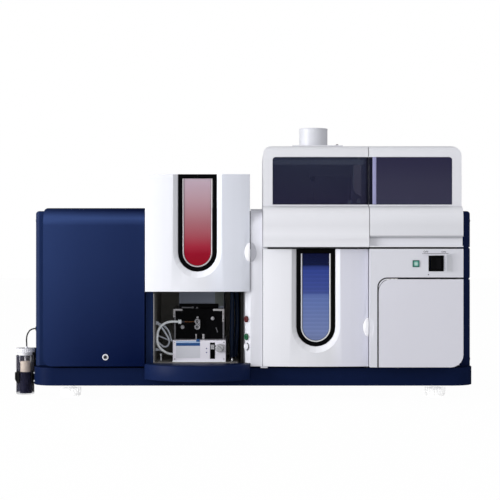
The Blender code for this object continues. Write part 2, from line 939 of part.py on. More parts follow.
def door_glass(name, left, right, low, finish):
    z_round, _, _, front = door_levels(low)
    half = window_width / 2 - window_band - gap
    top = low + door_height - window_band - gap
    outline = u_outline((left + right) / 2, half, z_round, top)
    return prism(name, outline, "y", front + glass_recess, front + glass_recess + glass_thickness, finish)


def flame_door(finishes):
    """The flame door as photographed, raised, with a runner on each side."""
    at = (x_flame_left, x_flame_right, z_flame_door)
    door = door_shell("flame_door", *at, finishes["white"])
    low = z_flame_door + runner_rise
    back = y_front + door_back
    left = x_flame_left + (jamb_width - runner_width) / 2
    weld(door, block("left_runner", (left, back - join_overlap, low),
                     (left + runner_width, y_fascia - gap, low + runner_height)))
    right = x_liner_right - button_clearance
    weld(door, block("right_runner", (x_liner_right - rail_width + button_clearance, back - join_overlap, low),
                     (right, y_liner_front - gap, low + runner_height)))
    door_frame("flame_door_frame", *at, finishes["black"])
    door_glass("flame_door_glass", *at, finishes["red_glass"])


def furnace_hinge():
    """The furnace door's axis, inside its left edge."""
    return x_furnace_left + door_hinge_inset, y_front + door_back - door_edge / 2


def furnace_door(finishes):
    """The furnace door, closed, each of its pieces turning about the door's left edge."""
    at = (x_furnace_left, x_furnace_right, z_panel_bottom)
    axis = (*furnace_hinge(), z_panel_bottom)
    door = door_shell("furnace_door", *at, finishes["white"])
    frame = door_frame("furnace_door_frame", *at, finishes["black"])
    glass = door_glass("furnace_door_glass", *at, finishes["blue_glass"])
    for piece in (door, frame, glass):
        pivot(piece, axis)


def furnace_frame(finish):
    """The inner frame: two bulkheads that stand on the base and carry the sampler's deck."""
    front = y_front + frame_setback
    back = y_riser - gap
    deck = block("furnace_frame", (x_furnace_left, front, z_deck_low), (x_furnace_right, back, z_deck_top), finish)
    right = block("right_deck", (x_furnace_right - join_overlap, y_body, z_deck_low),
                  (x_panel_right, back, z_deck_top))
    weld(deck, right)
    for left in (x_furnace_left, x_furnace_right - frame_wall):
        weld(deck, block("bulkhead", (left, front, z_inside),
                         (left + frame_wall, back, z_deck_low + join_overlap)))
    carve(deck, rod("frame_sight", optic_hole_radius, (x_furnace_left - overrun, y_optic, z_optic),
                    (x_panel_left + overrun, y_optic, z_optic), steps=small_round_steps))
    return carve(deck, block("dosing_hole",
                             (x_furnace_middle - frame_hole_width / 2, y_optic - frame_hole_depth / 2,
                              z_deck_low - overrun),
                             (x_furnace_middle + frame_hole_width / 2, y_optic + frame_hole_depth / 2,
                              z_deck_top + overrun)))


def cover_side(inset, low):
    """The covers' side outline, drawn in by inset: a round-shouldered front, then the window band."""
    points = [(y_face + inset, low)]
    points += arc((y_front, z_roll_top - face_proud), face_proud - inset, 180, 90, fillet_steps)
    if inset:
        points.append((y_front + inset, z_roll_top - inset))
    radius = covers_edge_radius
    points += arc((y_front + radius, z_covers_top - radius), radius - inset, 180, 90, corner_steps)
    points += arc((y_covers_back - radius, z_covers_top - radius), radius - inset, 90, 0, corner_steps)
    points.append((y_covers_back - inset, low))
    return points


def cover_form(name, left, right, radii, inset, finish=None):
    """A cover's form between two x places, drawn in by inset and open at the bottom when it is."""
    low = z_covers_bottom - (overrun if inset else 0)
    form = prism(name, cover_side(inset, low), "x", left, right, finish)
    face = rounded_box((left, low), (right, z_covers_top - inset), radii)
    return trim(form, prism(f"{name}_face", face, "y", y_face - overrun, y_covers_back + overrun))


def hinged_cover(name, left, right, radii, open_side, finish):
    """A cover's shell, open below and towards its neighbour, with two hinge barrels behind."""
    cover = cover_form(name, left, right, radii, 0, finish)
    inner_left = left - overrun if open_side == "left" else left + cover_wall
    inner_right = right + overrun if open_side == "right" else right - cover_wall
    inner_radii = [max(radius - cover_wall, 0) for radius in radii]
    carve(cover, cover_form(f"{name}_room", inner_left, inner_right, inner_radii, cover_wall))
    _, y, z = cover_hinge(left)
    for start in (left + hinge_barrel_inset, right - hinge_barrel_inset - hinge_barrel_length):
        weld(cover, rod("hinge_barrel", hinge_barrel_radius, (start, y, z),
                        (start + hinge_barrel_length, y, z), steps=small_round_steps))
    return cover


def cover_hinge(x):
    """A point on the covers' hinge line, which lies just above the rear body's top."""
    return x, y_covers_back + hinge_barrel_radius - join_overlap, z_body_top + gap + hinge_barrel_radius


def window_outline(left, right, radii, inset):
    low, high = z_roll_top + window_bottom_margin + inset, z_covers_top - window_top_margin - inset
    return rounded_box((left, low), (right, high), [max(radius - inset, 0) for radius in radii])


def smoked_window(name, left, right, radii, finish):
    """A smoked pane that fills a cover's window, level with its front."""
    outline = window_outline(left + gap, right - gap, radii, gap)
    return prism(name, outline, "y", y_front, y_front + window_pane, finish)


def furnace_cover(finishes):
    """The cover over the furnace, with a raised plate under its chimney."""
    left, right = x_furnace_left, x_furnace_right
    cover = hinged_cover("furnace_cover", left, right, (0, 0, 0, covers_left_radius), "right", finishes["white"])
    radii = (0, 0, 0, window_corner_radius)
    pane_left = left + window_side_margin
    carve(cover, prism("furnace_window_hole", window_outline(pane_left, right + overrun, radii, 0), "y",
                       y_front - overrun, y_front + overrun))
    x = left + chimney_side_distance
    y = y_covers_back - chimney_back_distance
    weld(cover, block("chimney_plate",
                      (x - plate_width / 2, y_front + plate_setback, z_covers_top - join_overlap),
                      (x + plate_width / 2, y + plate_width / 2, z_covers_top + plate_height)))
    bore = chimney_radius - chimney_wall
    carve(cover, rod("chimney_hole", bore, (x, y, z_covers_top - overrun), (x, y, z_covers_top + overrun)))
    pane = smoked_window("furnace_window", pane_left, right, radii, finishes["smoked"])
    profile = [
        (bore, 0),
        (chimney_radius + chimney_flange, 0),
        (chimney_radius + chimney_flange, chimney_flange_height),
        (chimney_radius, chimney_flange_height),
        (chimney_radius, chimney_height),
        (bore, chimney_height),
    ]
    foot = (x, y, z_covers_top + plate_height + gap)
    chimney = turned("exhaust_chimney", profile, foot, (0, 0, 1), finishes["white"], closed=True)
    for piece in (cover, pane, chimney):
        pivot(piece, cover_hinge(left))


def sampler_cover(finishes):
    """The cover over the sampler, with a finger recess along its foot and a rib behind its window."""
    left, right = x_panel_left, x_panel_right
    cover = hinged_cover("sampler_cover", left, right, (0, 0, covers_right_radius, 0), "left", finishes["white"])
    low = z_covers_bottom + finger_recess_low
    high = low + finger_recess_height
    depth = y_face + finger_recess_depth
    weld(cover, block("recess_wall", (left, y_face + join_overlap, low - finger_recess_low + gap),
                      (right - join_overlap, depth + cover_wall, high + cover_wall)))
    carve(cover, block("finger_recess", (left - overrun, y_face - overrun, low), (right + overrun, depth, high)))
    radii = (0, 0, window_corner_radius, 0)
    pane_right = right - window_side_margin
    carve(cover, prism("sampler_window_hole", window_outline(left - overrun, pane_right, radii, 0), "y",
                       y_front - overrun, y_front + cover_rib_setback - join_overlap))
    rib_left = left + cover_rib_setback
    weld(cover, block("cover_rib", (rib_left, y_front + cover_rib_setback, z_roll_top),
                      (rib_left + cover_rib_width, y_front + cover_rib_setback + cover_rib_depth,
                       z_covers_top - join_overlap)))
    pane = smoked_window("sampler_window", left, pane_right, radii, finishes["smoked"])
    for piece in (cover, pane):
        pivot(piece, cover_hinge(left))


def access_outline(inset):
    """The access door's outline, drawn in by inset, with two large round corners."""
    left, right = x_panel_left + access_left + inset, x_panel_right - inset
    low, high = z_panel_bottom + inset, z_access_top - inset
    return rounded_box((left, low), (right, high), (0, access_radius - inset, 0, access_radius - inset))


def access_hinge():
    """The access door's axis, at the back of its side return."""
    return x_panel_right - access_barrel_radius, y_face + access_return


def right_front_panel(finish):
    """The fixed front on the right, cut away for the access door, with a hood over the power switch."""
    left, right = x_panel_left, x_panel_right
    far = y_body - gap
    panel = block("right_front_panel", (left, y_face, z_panel_bottom), (right, far, z_panel_top), finish)
    carve(panel, block("panel_room", (left + cover_wall, y_face + cover_wall, z_panel_bottom - overrun),
                       (right - cover_wall, far + overrun, z_panel_top - cover_wall)))
    opening = rounded_box((left + access_left - panel_seam, z_panel_bottom - overrun),
                          (right + overrun, z_access_top + panel_seam), (0, 0, 0, access_radius + panel_seam))
    carve(panel, prism("access_opening", opening, "y", y_face - overrun, y_face + cover_wall + overrun))
    carve(panel, block("access_side", (right - cover_wall - overrun, y_face - overrun, z_panel_bottom - overrun),
                       (right + overrun, access_hinge()[1] + access_strip_gap, z_access_top + panel_seam)))
    switch = switch_box(gap)
    carve(panel, block("switch_hole", (switch[0][0], y_face - overrun, switch[0][1]),
                       (switch[1][0], y_face + overrun, switch[1][1])))
    lamp = lamp_box(gap)
    carve(panel, block("lamp_hole", (lamp[0][0], y_face - overrun, lamp[0][1]),
                       (lamp[1][0], y_face + overrun, lamp[1][1])))
    (switch_low_x, switch_low_z), (switch_high_x, switch_high_z) = switch_box(0)
    middle = (switch_low_x + switch_high_x) / 2
    hood_low = switch_high_z + hood_rise
    weld(panel, block("hood", (middle - hood_width / 2, y_face - hood_proud, hood_low),
                      (middle + hood_width / 2, y_face + join_overlap, hood_low + hood_height)))
    guard_left = switch_high_x + guard_distance
    weld(panel, block("guard", (guard_left, y_face - hood_proud, switch_low_z),
                      (guard_left + hood_height, y_face + join_overlap, hood_low + hood_height / 2)))
    return panel


def switch_box(spread):
    """The power switch's low and high corners across the front, grown by spread."""
    left = x_panel_left + switch_left
    high = z_panel_top - switch_top_margin
    return ((left - spread, high - switch_height - spread), (left + switch_width + spread, high + spread))


def lamp_box(spread):
    """The green lamp's low and high corners across the front, grown by spread."""
    left = x_panel_left + lamp_left
    high = z_panel_top - lamp_drop
    return ((left - spread, high - lamp_size - spread), (left + lamp_size + spread, high + spread))


def access_door(finish):
    """The lamp compartment's door: a shallow pan with a side return that ends in its hinge barrel."""
    door = prism("access_door", access_outline(0), "y", y_face, y_face + access_pan_depth, finish)
    carve(door, prism("access_room", access_outline(cover_wall), "y", y_face + cover_wall,
                      y_face + access_pan_depth + overrun))
    x, y = access_hinge()
    low, high = z_panel_bottom + access_radius, z_access_top
    weld(door, block("access_side_return", (x_panel_right - cover_wall, y_face + join_overlap, low),
                     (x_panel_right, y, high)))
    weld(door, rod("access_barrel", access_barrel_radius, (x, y, low), (x, y, z_access_top + panel_seam - gap),
                   steps=small_round_steps))
    return pivot(door, (x, y, z_panel_bottom))


def power_switch(finishes):
    """The power switch: a bezel through the panel, and a rocker that tips about an upright axis."""
    (left, low), (right, high) = switch_box(0)
    bezel = block("switch_bezel", (left, y_face - switch_proud, low), (right, y_face + switch_depth, high),
                  finishes["black"])
    middle_x, middle_z = (left + right) / 2, (low + high) / 2
    half = rocker_width / 2 + rocker_side_clearance
    half_length = rocker_length / 2 + gap
    carve(bezel, block("rocker_well", (middle_x - half, y_face - overrun, middle_z - half_length),
                       (middle_x + half, y_face + switch_depth + overrun, middle_z + half_length)))
    tilt = math.radians(rocker_angle_deg)
    reach = rocker_width / 2
    front = -switch_proud - rocker_proud
    local = [(-reach, front), (0, front + reach * math.tan(tilt)), (reach, front), (reach, 0),
             (reach / 2, rocker_body), (-reach / 2, rocker_body), (-reach, 0)]
    outline = [(middle_x + x * math.cos(tilt) + y * math.sin(tilt),
                y_face + y * math.cos(tilt) - x * math.sin(tilt)) for x, y in local]
    rocker = prism("power_rocker", outline, "z", middle_z - rocker_length / 2, middle_z + rocker_length / 2,
                   finishes["black"])
    pivot(rocker, (middle_x, y_face, middle_z))


def power_lamp(finish):
    (left, low), (right, high) = lamp_box(0)
    return block("power_lamp", (left, y_face - lamp_proud, low), (right, y_face + lamp_depth, high), finish)


def monochromator(finishes):
    """The monochromator's housing, with its entrance hole and the well that holds the grating table."""
    left = x_cover_left + monochromator_side_gap
    front = y_front + monochromator_setback
    right, back = left + monochromator_width, front + monochromator_depth
    top = z_inside + monochromator_height
    housing = block("monochromator", (left, front, z_inside), (right, back, top), finishes["grey"])
    carve(housing, rod("entrance", optic_hole_radius, (right - overrun, y_optic, z_optic),
                       (right + overrun, y_optic, z_optic), steps=small_round_steps))
    x, y = x_cover_left + monochromator_side_gap + grating_side_distance, y_front + grating_setback
    floor = top - grating_well_depth
    carve(housing, rod("grating_well", grating_well_radius, (x, y, floor), (x, y, top + overrun)))
    table = rod("grating_table", grating_table_radius, (x, y, floor + gap),
                (x, y, floor + gap + grating_table_height), finishes["black"])
    stand = floor + gap + grating_table_height - join_overlap
    weld(table, block("grating", (x - grating_width / 2, y - grating_thickness / 2, stand),
                      (x + grating_width / 2, y + grating_thickness / 2, stand + grating_height)))
    pivot(table, (x, y, floor))


def burner_places():
    """The burner box's left and right, the magnet's front, and the tops of box and magnet."""
    left = x_liner_left + burner_box_left
    box_top = z_shelf_top + gap + burner_box_height
    magnet_low = box_top + gap
    return left, left + burner_box_width, y_front + magnet_front, box_top, magnet_low + magnet_height


def burner(finishes):
    """The gas control box in front, the magnet on it, and the shielded burner head on top."""
    left, right, front, box_top, magnet_top = burner_places()
    magnet_middle = (left + right) / 2 - magnet_side_offset
    middle = (left + right) / 2 + shield_side_offset
    box_front = y_front + burner_box_front
    box = block("burner_box", (left, box_front, z_shelf_top + gap),
                (right, box_front + burner_box_depth, box_top), finishes["steel"])
    slot_left, slot_low, slot_high = lever_slot()
    carve(box, block("lever_slot", (slot_left, box_front - overrun, slot_low),
                     (slot_left + lever_slot_width, box_front + lever_slot_depth, slot_high)))
    block("burner_magnet", (magnet_middle - magnet_width / 2, front, box_top + gap),
          (magnet_middle + magnet_width / 2, front + magnet_depth, magnet_top), finishes["black"])
    low = magnet_top + gap
    outer = [(middle - shield_width / 2, y_optic - shield_depth / 2),
             (middle + shield_width / 2, y_optic + shield_depth / 2)]
    shield = block("burner_shield", (*outer[0], low), (*outer[1], low + shield_height), finishes["grey"])
    carve(shield, block("shield_room", (outer[0][0] + shield_wall, outer[0][1] + shield_wall, low - overrun),
                        (outer[1][0] - shield_wall, outer[1][1] - shield_wall, low + shield_height + overrun)))
    carve(shield, rod("shield_sight", optic_hole_radius, (outer[0][0] - overrun, y_optic, z_optic),
                      (outer[1][0] + overrun, y_optic, z_optic), steps=small_round_steps))
    head = block("burner_head", (middle - burner_length / 2, y_optic - burner_width / 2, low),
                 (middle + burner_length / 2, y_optic + burner_width / 2, low + burner_height), finishes["steel"])
    carve(head, block("burner_slot",
                      (middle - burner_length / 2 + burner_width / 2, y_optic - burner_slot / 2,
                       low + burner_height - burner_slot_depth),
                      (middle + burner_length / 2 - burner_width / 2, y_optic + burner_slot / 2,
                       low + burner_height + overrun)))


def lever_slot():
    """The lever slot's left side, bottom and top on the burner box."""
    left = burner_places()[0] + lever_slot_left
    low = z_shelf_top + gap + lever_slot_low
    return left, low, low + lever_slot_height


def gas_lever(finish):
    """The lever that slides down its slot to change the fuel gas."""
    slot_left, _, slot_high = lever_slot()
    left = slot_left + (lever_slot_width - lever_width) / 2
    high = slot_high - lever_top_margin
    front = y_front + burner_box_front
    return block("gas_lever", (left, front - lever_proud, high - lever_height),
                 (left + lever_width, front + lever_slot_depth - lever_clearance, high), finish)


def gas_knob(finish):
    x = burner_places()[0] + knob_side_distance
    z = z_shelf_top + gap + knob_height
    back = y_front + burner_box_front - gap
    profile = [(knob_radius - knob_chamfer, -knob_length), (knob_radius, knob_chamfer - knob_length),
               (knob_radius, 0)]
    knob = turned("gas_knob", profile, (x, back, z), (0, 1, 0), finish)
    return pivot(knob, (x, back, z))


def nebulizer_places():
    """The nebulizer's x, its barrel's y and z, and the end of its collar."""
    left, _, front, _, magnet_top = burner_places()
    x = left + nebulizer_side_distance
    y = front - gap - nebulizer_lobe_length / 2
    end = x - nebulizer_barrel_length - nebulizer_collar_length
    return x, y, magnet_top - nebulizer_barrel_drop, end


def nebulizer(finish):
    """Two turned lobes on the magnet's front, and the barrel that takes the sample tube."""
    x, y, z, end = nebulizer_places()
    front, magnet_top = burner_places()[2], burner_places()[4]
    upper, lower = magnet_top - nebulizer_upper_drop, magnet_top - nebulizer_lower_drop
    fitting = rod("nebulizer", nebulizer_lobe_radius, (x, front - gap, upper),
                  (x, front - gap - nebulizer_lobe_length, upper), finish)
    second = nebulizer_lobe_radius - join_overlap
    neck = rod("neck", nebulizer_barrel_radius, (x, y, lower), (x, y, upper), steps=small_round_steps)
    lobe = rod("lower_lobe", second, (x, front - gap - join_overlap, lower),
               (x, front - gap - nebulizer_lobe_length + join_overlap, lower))
    collar_start = end + nebulizer_collar_length
    barrel = rod("barrel", nebulizer_barrel_radius, (x, y, z), (collar_start - join_overlap, y, z),
                 steps=small_round_steps)
    collar = rod("collar", nebulizer_collar_radius, (collar_start, y, z), (end, y, z), steps=small_round_steps)
    return weld(fitting, neck, lobe, barrel, collar)


def bay_tubes(finishes):
    """The sample tube that loops from the nebulizer to the burner box, and the gas hose behind."""
    _, y, z, end = nebulizer_places()
    sample_route = [(end - gap, y, z), *sample_tube_route, (burner_places()[0] - gap, *sample_tube_end)]
    cord("sample_tube", sample_route, sample_tube_radius, finishes["clear"])
    hose_route = [(*gas_hose_foot, z_shelf_top + gap), *gas_hose_route,
                  (gas_hose_end[0], y_liner_back - liner_wall - gap, gas_hose_end[1])]
    cord("gas_hose", hose_route, gas_hose_radius, finishes["hose"])


def furnace(finishes):
    """The furnace magnet with its open slot, and the graphite furnace that lies in it."""
    x = x_furnace_middle
    half_width, half_depth = furnace_magnet_width / 2, furnace_magnet_depth / 2
    top = z_inside + furnace_magnet_height
    magnet = block("furnace_magnet", (x - half_width, y_optic - half_depth, z_inside),
                   (x + half_width, y_optic + half_depth, top), finishes["grey"])
    floor = z_inside + furnace_magnet_floor
    carve(magnet, block("furnace_slot", (x - half_width - overrun, y_optic - furnace_magnet_slot / 2, floor),
                        (x + half_width + overrun, y_optic + furnace_magnet_slot / 2, top + overrun)))
    core = rod("graphite_furnace", furnace_radius, (x - furnace_length / 2, y_optic, z_optic),
               (x + furnace_length / 2, y_optic, z_optic), finishes["black"])
    foot = block("furnace_foot", (x - furnace_foot_width / 2, y_optic - furnace_foot_depth / 2, floor + gap),
                 (x + furnace_foot_width / 2, y_optic + furnace_foot_depth / 2, z_optic))
    weld(core, foot)
    carve(core, rod("furnace_bore", furnace_bore, (x - furnace_length, y_optic, z_optic),
                    (x + furnace_length, y_optic, z_optic), steps=small_round_steps))
    carve(core, rod("dosing_bore", furnace_bore / 2, (x, y_optic, z_optic),
                    (x, y_optic, z_optic + furnace_radius * 2), steps=small_round_steps))


def sampler(finishes):
    """The sampler on the deck: base, turntable, and the arm that dips into the furnace."""
    left = x_panel_left + sampler_base_left
    front = y_front + sampler_base_front
    low = z_deck_top + gap
    outline = rounded_box((left, front), (left + sampler_base_width, front + sampler_base_depth),
                          [sampler_corner_radius] * 4)
    prism("sampler_base", outline, "z", low, low + sampler_base_height, finishes["grey"])
    x, y = left + sampler_base_width / 2, front + sampler_base_depth / 2
    seat = low + sampler_base_height + gap
    profile = [
        (turntable_radius, 0),
        (turntable_radius, turntable_height),
        (turntable_radius - turntable_lip, turntable_height),
        (turntable_radius - turntable_lip, turntable_height - turntable_well),
        (turntable_hub_radius, turntable_height - turntable_well),
        (turntable_hub_radius, turntable_height),
    ]
    table = turned("sampler_turntable", profile, (x, y, seat), (0, 0, 1), finishes["white"])
    pivot(table, (x, y, seat))
    column_x = x_furnace_middle + arm_length
    half = arm_column_size / 2
    top = low + arm_column_height
    arm = block("sampler_arm", (column_x - half, y_optic - half, low), (column_x + half, y_optic + half, top),
                finishes["white"])
    half_beam = arm_beam_width / 2
    beam = block("arm_beam", (x_furnace_middle - half_beam, y_optic - half_beam, top - arm_beam_height),
                 (column_x, y_optic + half_beam, top - gap))
    needle = rod("needle", needle_radius, (x_furnace_middle, y_optic, top - arm_beam_height + join_overlap),
                 (x_furnace_middle, y_optic, top - arm_beam_height - needle_length), steps=small_round_steps)
    weld(arm, beam, needle)
    pivot(arm, (column_x, y_optic, low))


def lamp_turret(finish):
    """The turret: a disc on a shaft, carrying a ring of lamps that point along the light's path."""
    z = z_optic - turret_pitch_radius
    right = x_panel_right - turret_right_gap
    disc_left = right - turret_disc
    turret = rod("lamp_turret", turret_radius, (disc_left, y_optic, z), (right, y_optic, z), finish)
    weld(turret, rod("shaft", turret_shaft_radius, (x_furnace_right + gap, y_optic, z),
                     (right + turret_shaft_right, y_optic, z), steps=small_round_steps))
    for i in range(lamp_count):
        angle = 2 * math.pi * i / lamp_count
        y = y_optic + turret_pitch_radius * math.sin(angle)
        height = z + turret_pitch_radius * math.cos(angle)
        weld(turret, rod("lamp", lamp_radius, (disc_left - lamp_length, y, height),
                         (disc_left + lamp_overlap, y, height), steps=small_round_steps))
    return pivot(turret, (disc_left, y_optic, z))


def cooling_fan(finish):
    """The fan inside the back, on the guard's boss."""
    x, z = x_body_right - fan_side_distance, fan_height
    back = y_back - sheet_wall - gap
    centre = Vector((x, back - fan_hub_depth / 2, z))
    fan = rod("cooling_fan", fan_hub_radius, (x, back, z), (x, back - fan_hub_depth, z), finish)
    for i in range(fan_blade_count):
        blade = block("fan_blade", (fan_hub_radius / 2, -fan_blade_thickness / 2, -fan_blade_width / 2),
                      (fan_blade_reach, fan_blade_thickness / 2, fan_blade_width / 2))
        twist = Matrix.Rotation(math.radians(fan_blade_angle_deg), 4, "X")
        turn = Matrix.Rotation(2 * math.pi * i / fan_blade_count, 4, "Y")
        blade.matrix_world = Matrix.Translation(centre) @ turn @ twist
        weld(fan, blade)
    return pivot(fan, (x, back, z))


def rear_ports(finish):
    """The plate of gas ports at the back."""
    left = x_body_left + port_plate_side_distance
    low = z_base_top + port_plate_low
    near = y_back + gap
    plate = block("rear_ports", (left, near, low),
                  (left + port_plate_width, near + port_plate_thickness, low + port_plate_height), finish)
    x, z = left + port_plate_width / 2, low + port_plate_height / 2
    for i in (-1, 0, 1):
        at = x + i * port_stub_pitch
        weld(plate, rod("port", port_stub_radius, (at, near + join_overlap, z), (at, y_back + port_reach, z),
                        steps=small_round_steps))
        carve(plate, rod("port_bore", port_stub_bore, (at, near + port_plate_thickness, z),
                         (at, y_back + port_reach + overrun, z), steps=small_round_steps))
    return plate


def power_supply(finish):
    right = x_panel_right - supply_side_gap
    back = y_back - supply_back_gap
    return block("power_supply", (right - supply_width, back - supply_depth, z_inside),
                 (right, back, z_inside + supply_height), finish)


def drain_bottle(finishes):
    """The drain bottle at the left: bottle, lid with its float stem, float, and the clip that holds it."""
    at = (x_bottle, y_bottle, 0)
    low, high = bottle_bottom, bottle_bottom + bottle_height
    radius, neck = bottle_radius, bottle_neck_radius
    profile = [
        (radius - bottle_wall, low),
        (radius, low + bottle_wall),
        (radius, high - bottle_shoulder),
        (neck, high),
        (neck - bottle_wall, high),
        (radius - bottle_wall, high - bottle_shoulder - bottle_wall),
        (radius - bottle_wall, low + bottle_wall * 2),
    ]
    turned("drain_bottle", profile, at, (0, 0, 1), finishes["clear"])
    collar = float_bottom - gap - stem_collar_height
    lid_profile = [
        (stem_collar_radius, collar),
        (stem_collar_radius, float_bottom - gap),
        (stem_radius, float_bottom - gap),
        (stem_radius, z_lid),
        (neck, z_lid),
        (neck, z_lid + lid_skirt),
        (radius, z_lid + lid_skirt),
        (radius, z_lid + lid_height),
    ]
    turned("bottle_lid", lid_profile, at, (0, 0, 1), finishes["clear"])
    float_profile = [(float_bore, float_bottom), (float_radius, float_bottom),
                     (float_radius, float_bottom + float_height), (float_bore, float_bottom + float_height)]
    turned("bottle_float", float_profile, at, (0, 0, 1), finishes["beige"], closed=True)
    ring = radius + gap
    clip = turned("bottle_clip", [(ring, clip_bottom), (clip_radius, clip_bottom),
                                  (clip_radius, clip_bottom + clip_height), (ring, clip_bottom + clip_height)],
                  at, (0, 0, 1), finishes["black"], closed=True)
    weld(clip, block("clip_plate", (x_bottle + ring + clip_band / 2, y_bottle - clip_plate_depth / 2, clip_bottom),
                     (x_body_left - gap, y_bottle + clip_plate_depth / 2, clip_bottom + clip_height)))
    route = [(x_bottle + drain_tube_offset, y_bottle, z_lid + lid_height + gap), *drain_tube_route,
             (x_body_left - gap, y_bottle, drain_port_height)]
    cord("drain_tube", route, drain_tube_radius, finishes["black"])


def finishes():
    """The materials of the part."""
    return {
        "navy": material("navy_paint", (0.012, 0.024, 0.085), 0.42),
        "white": material("white_plastic", (0.79, 0.80, 0.84), 0.40),
        "black": material("black_plastic", (0.008, 0.008, 0.009), 0.35),
        "dark": material("dark_sheet", (0.016, 0.015, 0.012), 0.55),
        "grey": material("grey_paint", (0.10, 0.10, 0.12), 0.50),
        "steel": material("brushed_steel", (0.60, 0.60, 0.62), 0.30, 1.0),
        "rubber": material("black_rubber", (0.010, 0.010, 0.010), 0.80),
        "smoked": material("smoked_window", (0.030, 0.032, 0.050), 0.10, alpha=0.75),
        "red_glass": material("red_window", (0.300, 0.020, 0.040), 0.10, alpha=0.80),
        "blue_glass": material("blue_window", (0.040, 0.070, 0.300), 0.10, alpha=0.80),
        "clear": material("clear_plastic", (0.75, 0.78, 0.80), 0.20, alpha=0.50),
        "beige": material("beige_float", (0.70, 0.60, 0.52), 0.50),
        "hose": material("blue_hose", (0.010, 0.020, 0.080), 0.35),
        "red": material("red_button", (0.30, 0.010, 0.012), 0.35),
        "green": material("green_button", (0.020, 0.20, 0.090), 0.35),
        "lamp": material("green_lamp", (0.10, 0.60, 0.40), 0.30),
    }


def smooth_round_pieces():
    """Shades every mesh smooth, with the edges past thirty degrees kept sharp."""
    for made in bpy.data.objects:
        if made.type == "MESH" and not made.hide_render:
            made.data.shade_smooth()
            made.data.set_sharp_from_angle(angle=math.radians(30))


def main():
    for old in list(bpy.data.objects):
        bpy.data.objects.remove(old, do_unlink=True)
    look = finishes()
    base_plinth(look["navy"])
    feet(look["rubber"])
    side_panel("left_side_panel", x_body_left, x_cover_left - gap, look["navy"])
    right_side = side_panel("right_side_panel", x_body_right, x_panel_right + gap, look["navy"])
    carve(right_side, *right_grooves())
    top_panel(look["navy"])
    back_panel(look["navy"])
    left_front_cover(look["navy"])
    front_socket(look["white"])
    bay_fascia(look["navy"])
    bay_liner(look["dark"])
    front_shelf(look["navy"])
    center_column(look["white"])
    push_button("red_button", red_button_height, look["red"])
    push_button("green_button", green_button_height, look["green"])
    push_button("white_button", white_button_height, look["white"])
    flame_door(look)
    furnace_door(look)
    furnace_frame(look["grey"])
    furnace_cover(look)
    sampler_cover(look)
    right_front_panel(look["white"])
    access_door(look["white"])
    power_switch(look)
    power_lamp(look["lamp"])
    monochromator(look)
    burner(look)
    gas_lever(look["steel"])
    gas_knob(look["steel"])
    nebulizer(look["steel"])
    bay_tubes(look)
    furnace(look)
    sampler(look)
    lamp_turret(look["grey"])
    cooling_fan(look["black"])
    rear_ports(look["steel"])
    power_supply(look["grey"])
    drain_bottle(look)
    smooth_round_pieces()


main()
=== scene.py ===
"""Looks of the atomic absorption spectrometer: finishes, fine parts, tubes, light and camera.

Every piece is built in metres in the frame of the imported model. The operator stands at -Y.
"""

from __future__ import annotations

import json
import logging
import math
from dataclasses import dataclass
from enum import Enum
from functools import lru_cache
from itertools import product
from typing import Any, Callable, Iterable, Iterator, Mapping, Optional, Sequence, Union

import bmesh
import bpy
from mathutils import Matrix, Vector

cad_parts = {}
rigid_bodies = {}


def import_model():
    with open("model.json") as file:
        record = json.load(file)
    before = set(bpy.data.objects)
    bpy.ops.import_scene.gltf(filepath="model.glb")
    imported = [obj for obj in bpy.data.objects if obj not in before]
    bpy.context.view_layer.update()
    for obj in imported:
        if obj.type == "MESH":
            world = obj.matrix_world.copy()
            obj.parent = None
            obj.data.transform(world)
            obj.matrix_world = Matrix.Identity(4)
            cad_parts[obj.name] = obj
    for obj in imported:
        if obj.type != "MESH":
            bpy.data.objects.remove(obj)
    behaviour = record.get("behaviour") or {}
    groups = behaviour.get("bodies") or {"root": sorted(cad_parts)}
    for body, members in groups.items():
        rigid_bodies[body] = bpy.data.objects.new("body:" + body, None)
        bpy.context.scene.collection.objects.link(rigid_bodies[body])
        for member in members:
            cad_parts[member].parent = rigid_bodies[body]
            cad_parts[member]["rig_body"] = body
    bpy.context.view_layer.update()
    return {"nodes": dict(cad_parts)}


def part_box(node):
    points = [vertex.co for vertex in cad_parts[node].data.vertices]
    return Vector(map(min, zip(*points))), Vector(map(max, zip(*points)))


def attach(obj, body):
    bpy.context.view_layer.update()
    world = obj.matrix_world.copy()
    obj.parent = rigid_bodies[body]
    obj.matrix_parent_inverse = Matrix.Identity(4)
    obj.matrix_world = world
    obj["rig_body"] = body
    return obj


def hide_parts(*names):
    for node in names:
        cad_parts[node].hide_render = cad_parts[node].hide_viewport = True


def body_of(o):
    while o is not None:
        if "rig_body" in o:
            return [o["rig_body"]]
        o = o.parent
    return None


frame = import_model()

log = logging.getLogger("spectrometer")

Color = tuple[float, float, float]
Point = tuple[float, float, float]
Flat = tuple[float, float]
Ring = Sequence[Sequence[float]]
Shape = bmesh.types.BMesh
Piece = bpy.types.Object
Socket = bpy.types.NodeSocket

CHASSIS = "chassis"
FLAME_DOOR = "flame_door_body"
FURNACE_DOOR = "furnace_door_body"
FURNACE_COVER = "furnace_cover_body"
SAMPLER_COVER = "sampler_cover_body"
TURNTABLE = "turntable_body"

LEFT, RIGHT = (-1, 0, 0), (1, 0, 0)
FRONT, BACK = (0, -1, 0), (0, 1, 0)
DOWN, UP = (0, 0, -1), (0, 0, 1)

CREASE = math.radians(32)
FLAT_ENOUGH = math.radians(0.6)
WELD = 1e-6
QUARTER = math.pi / 2


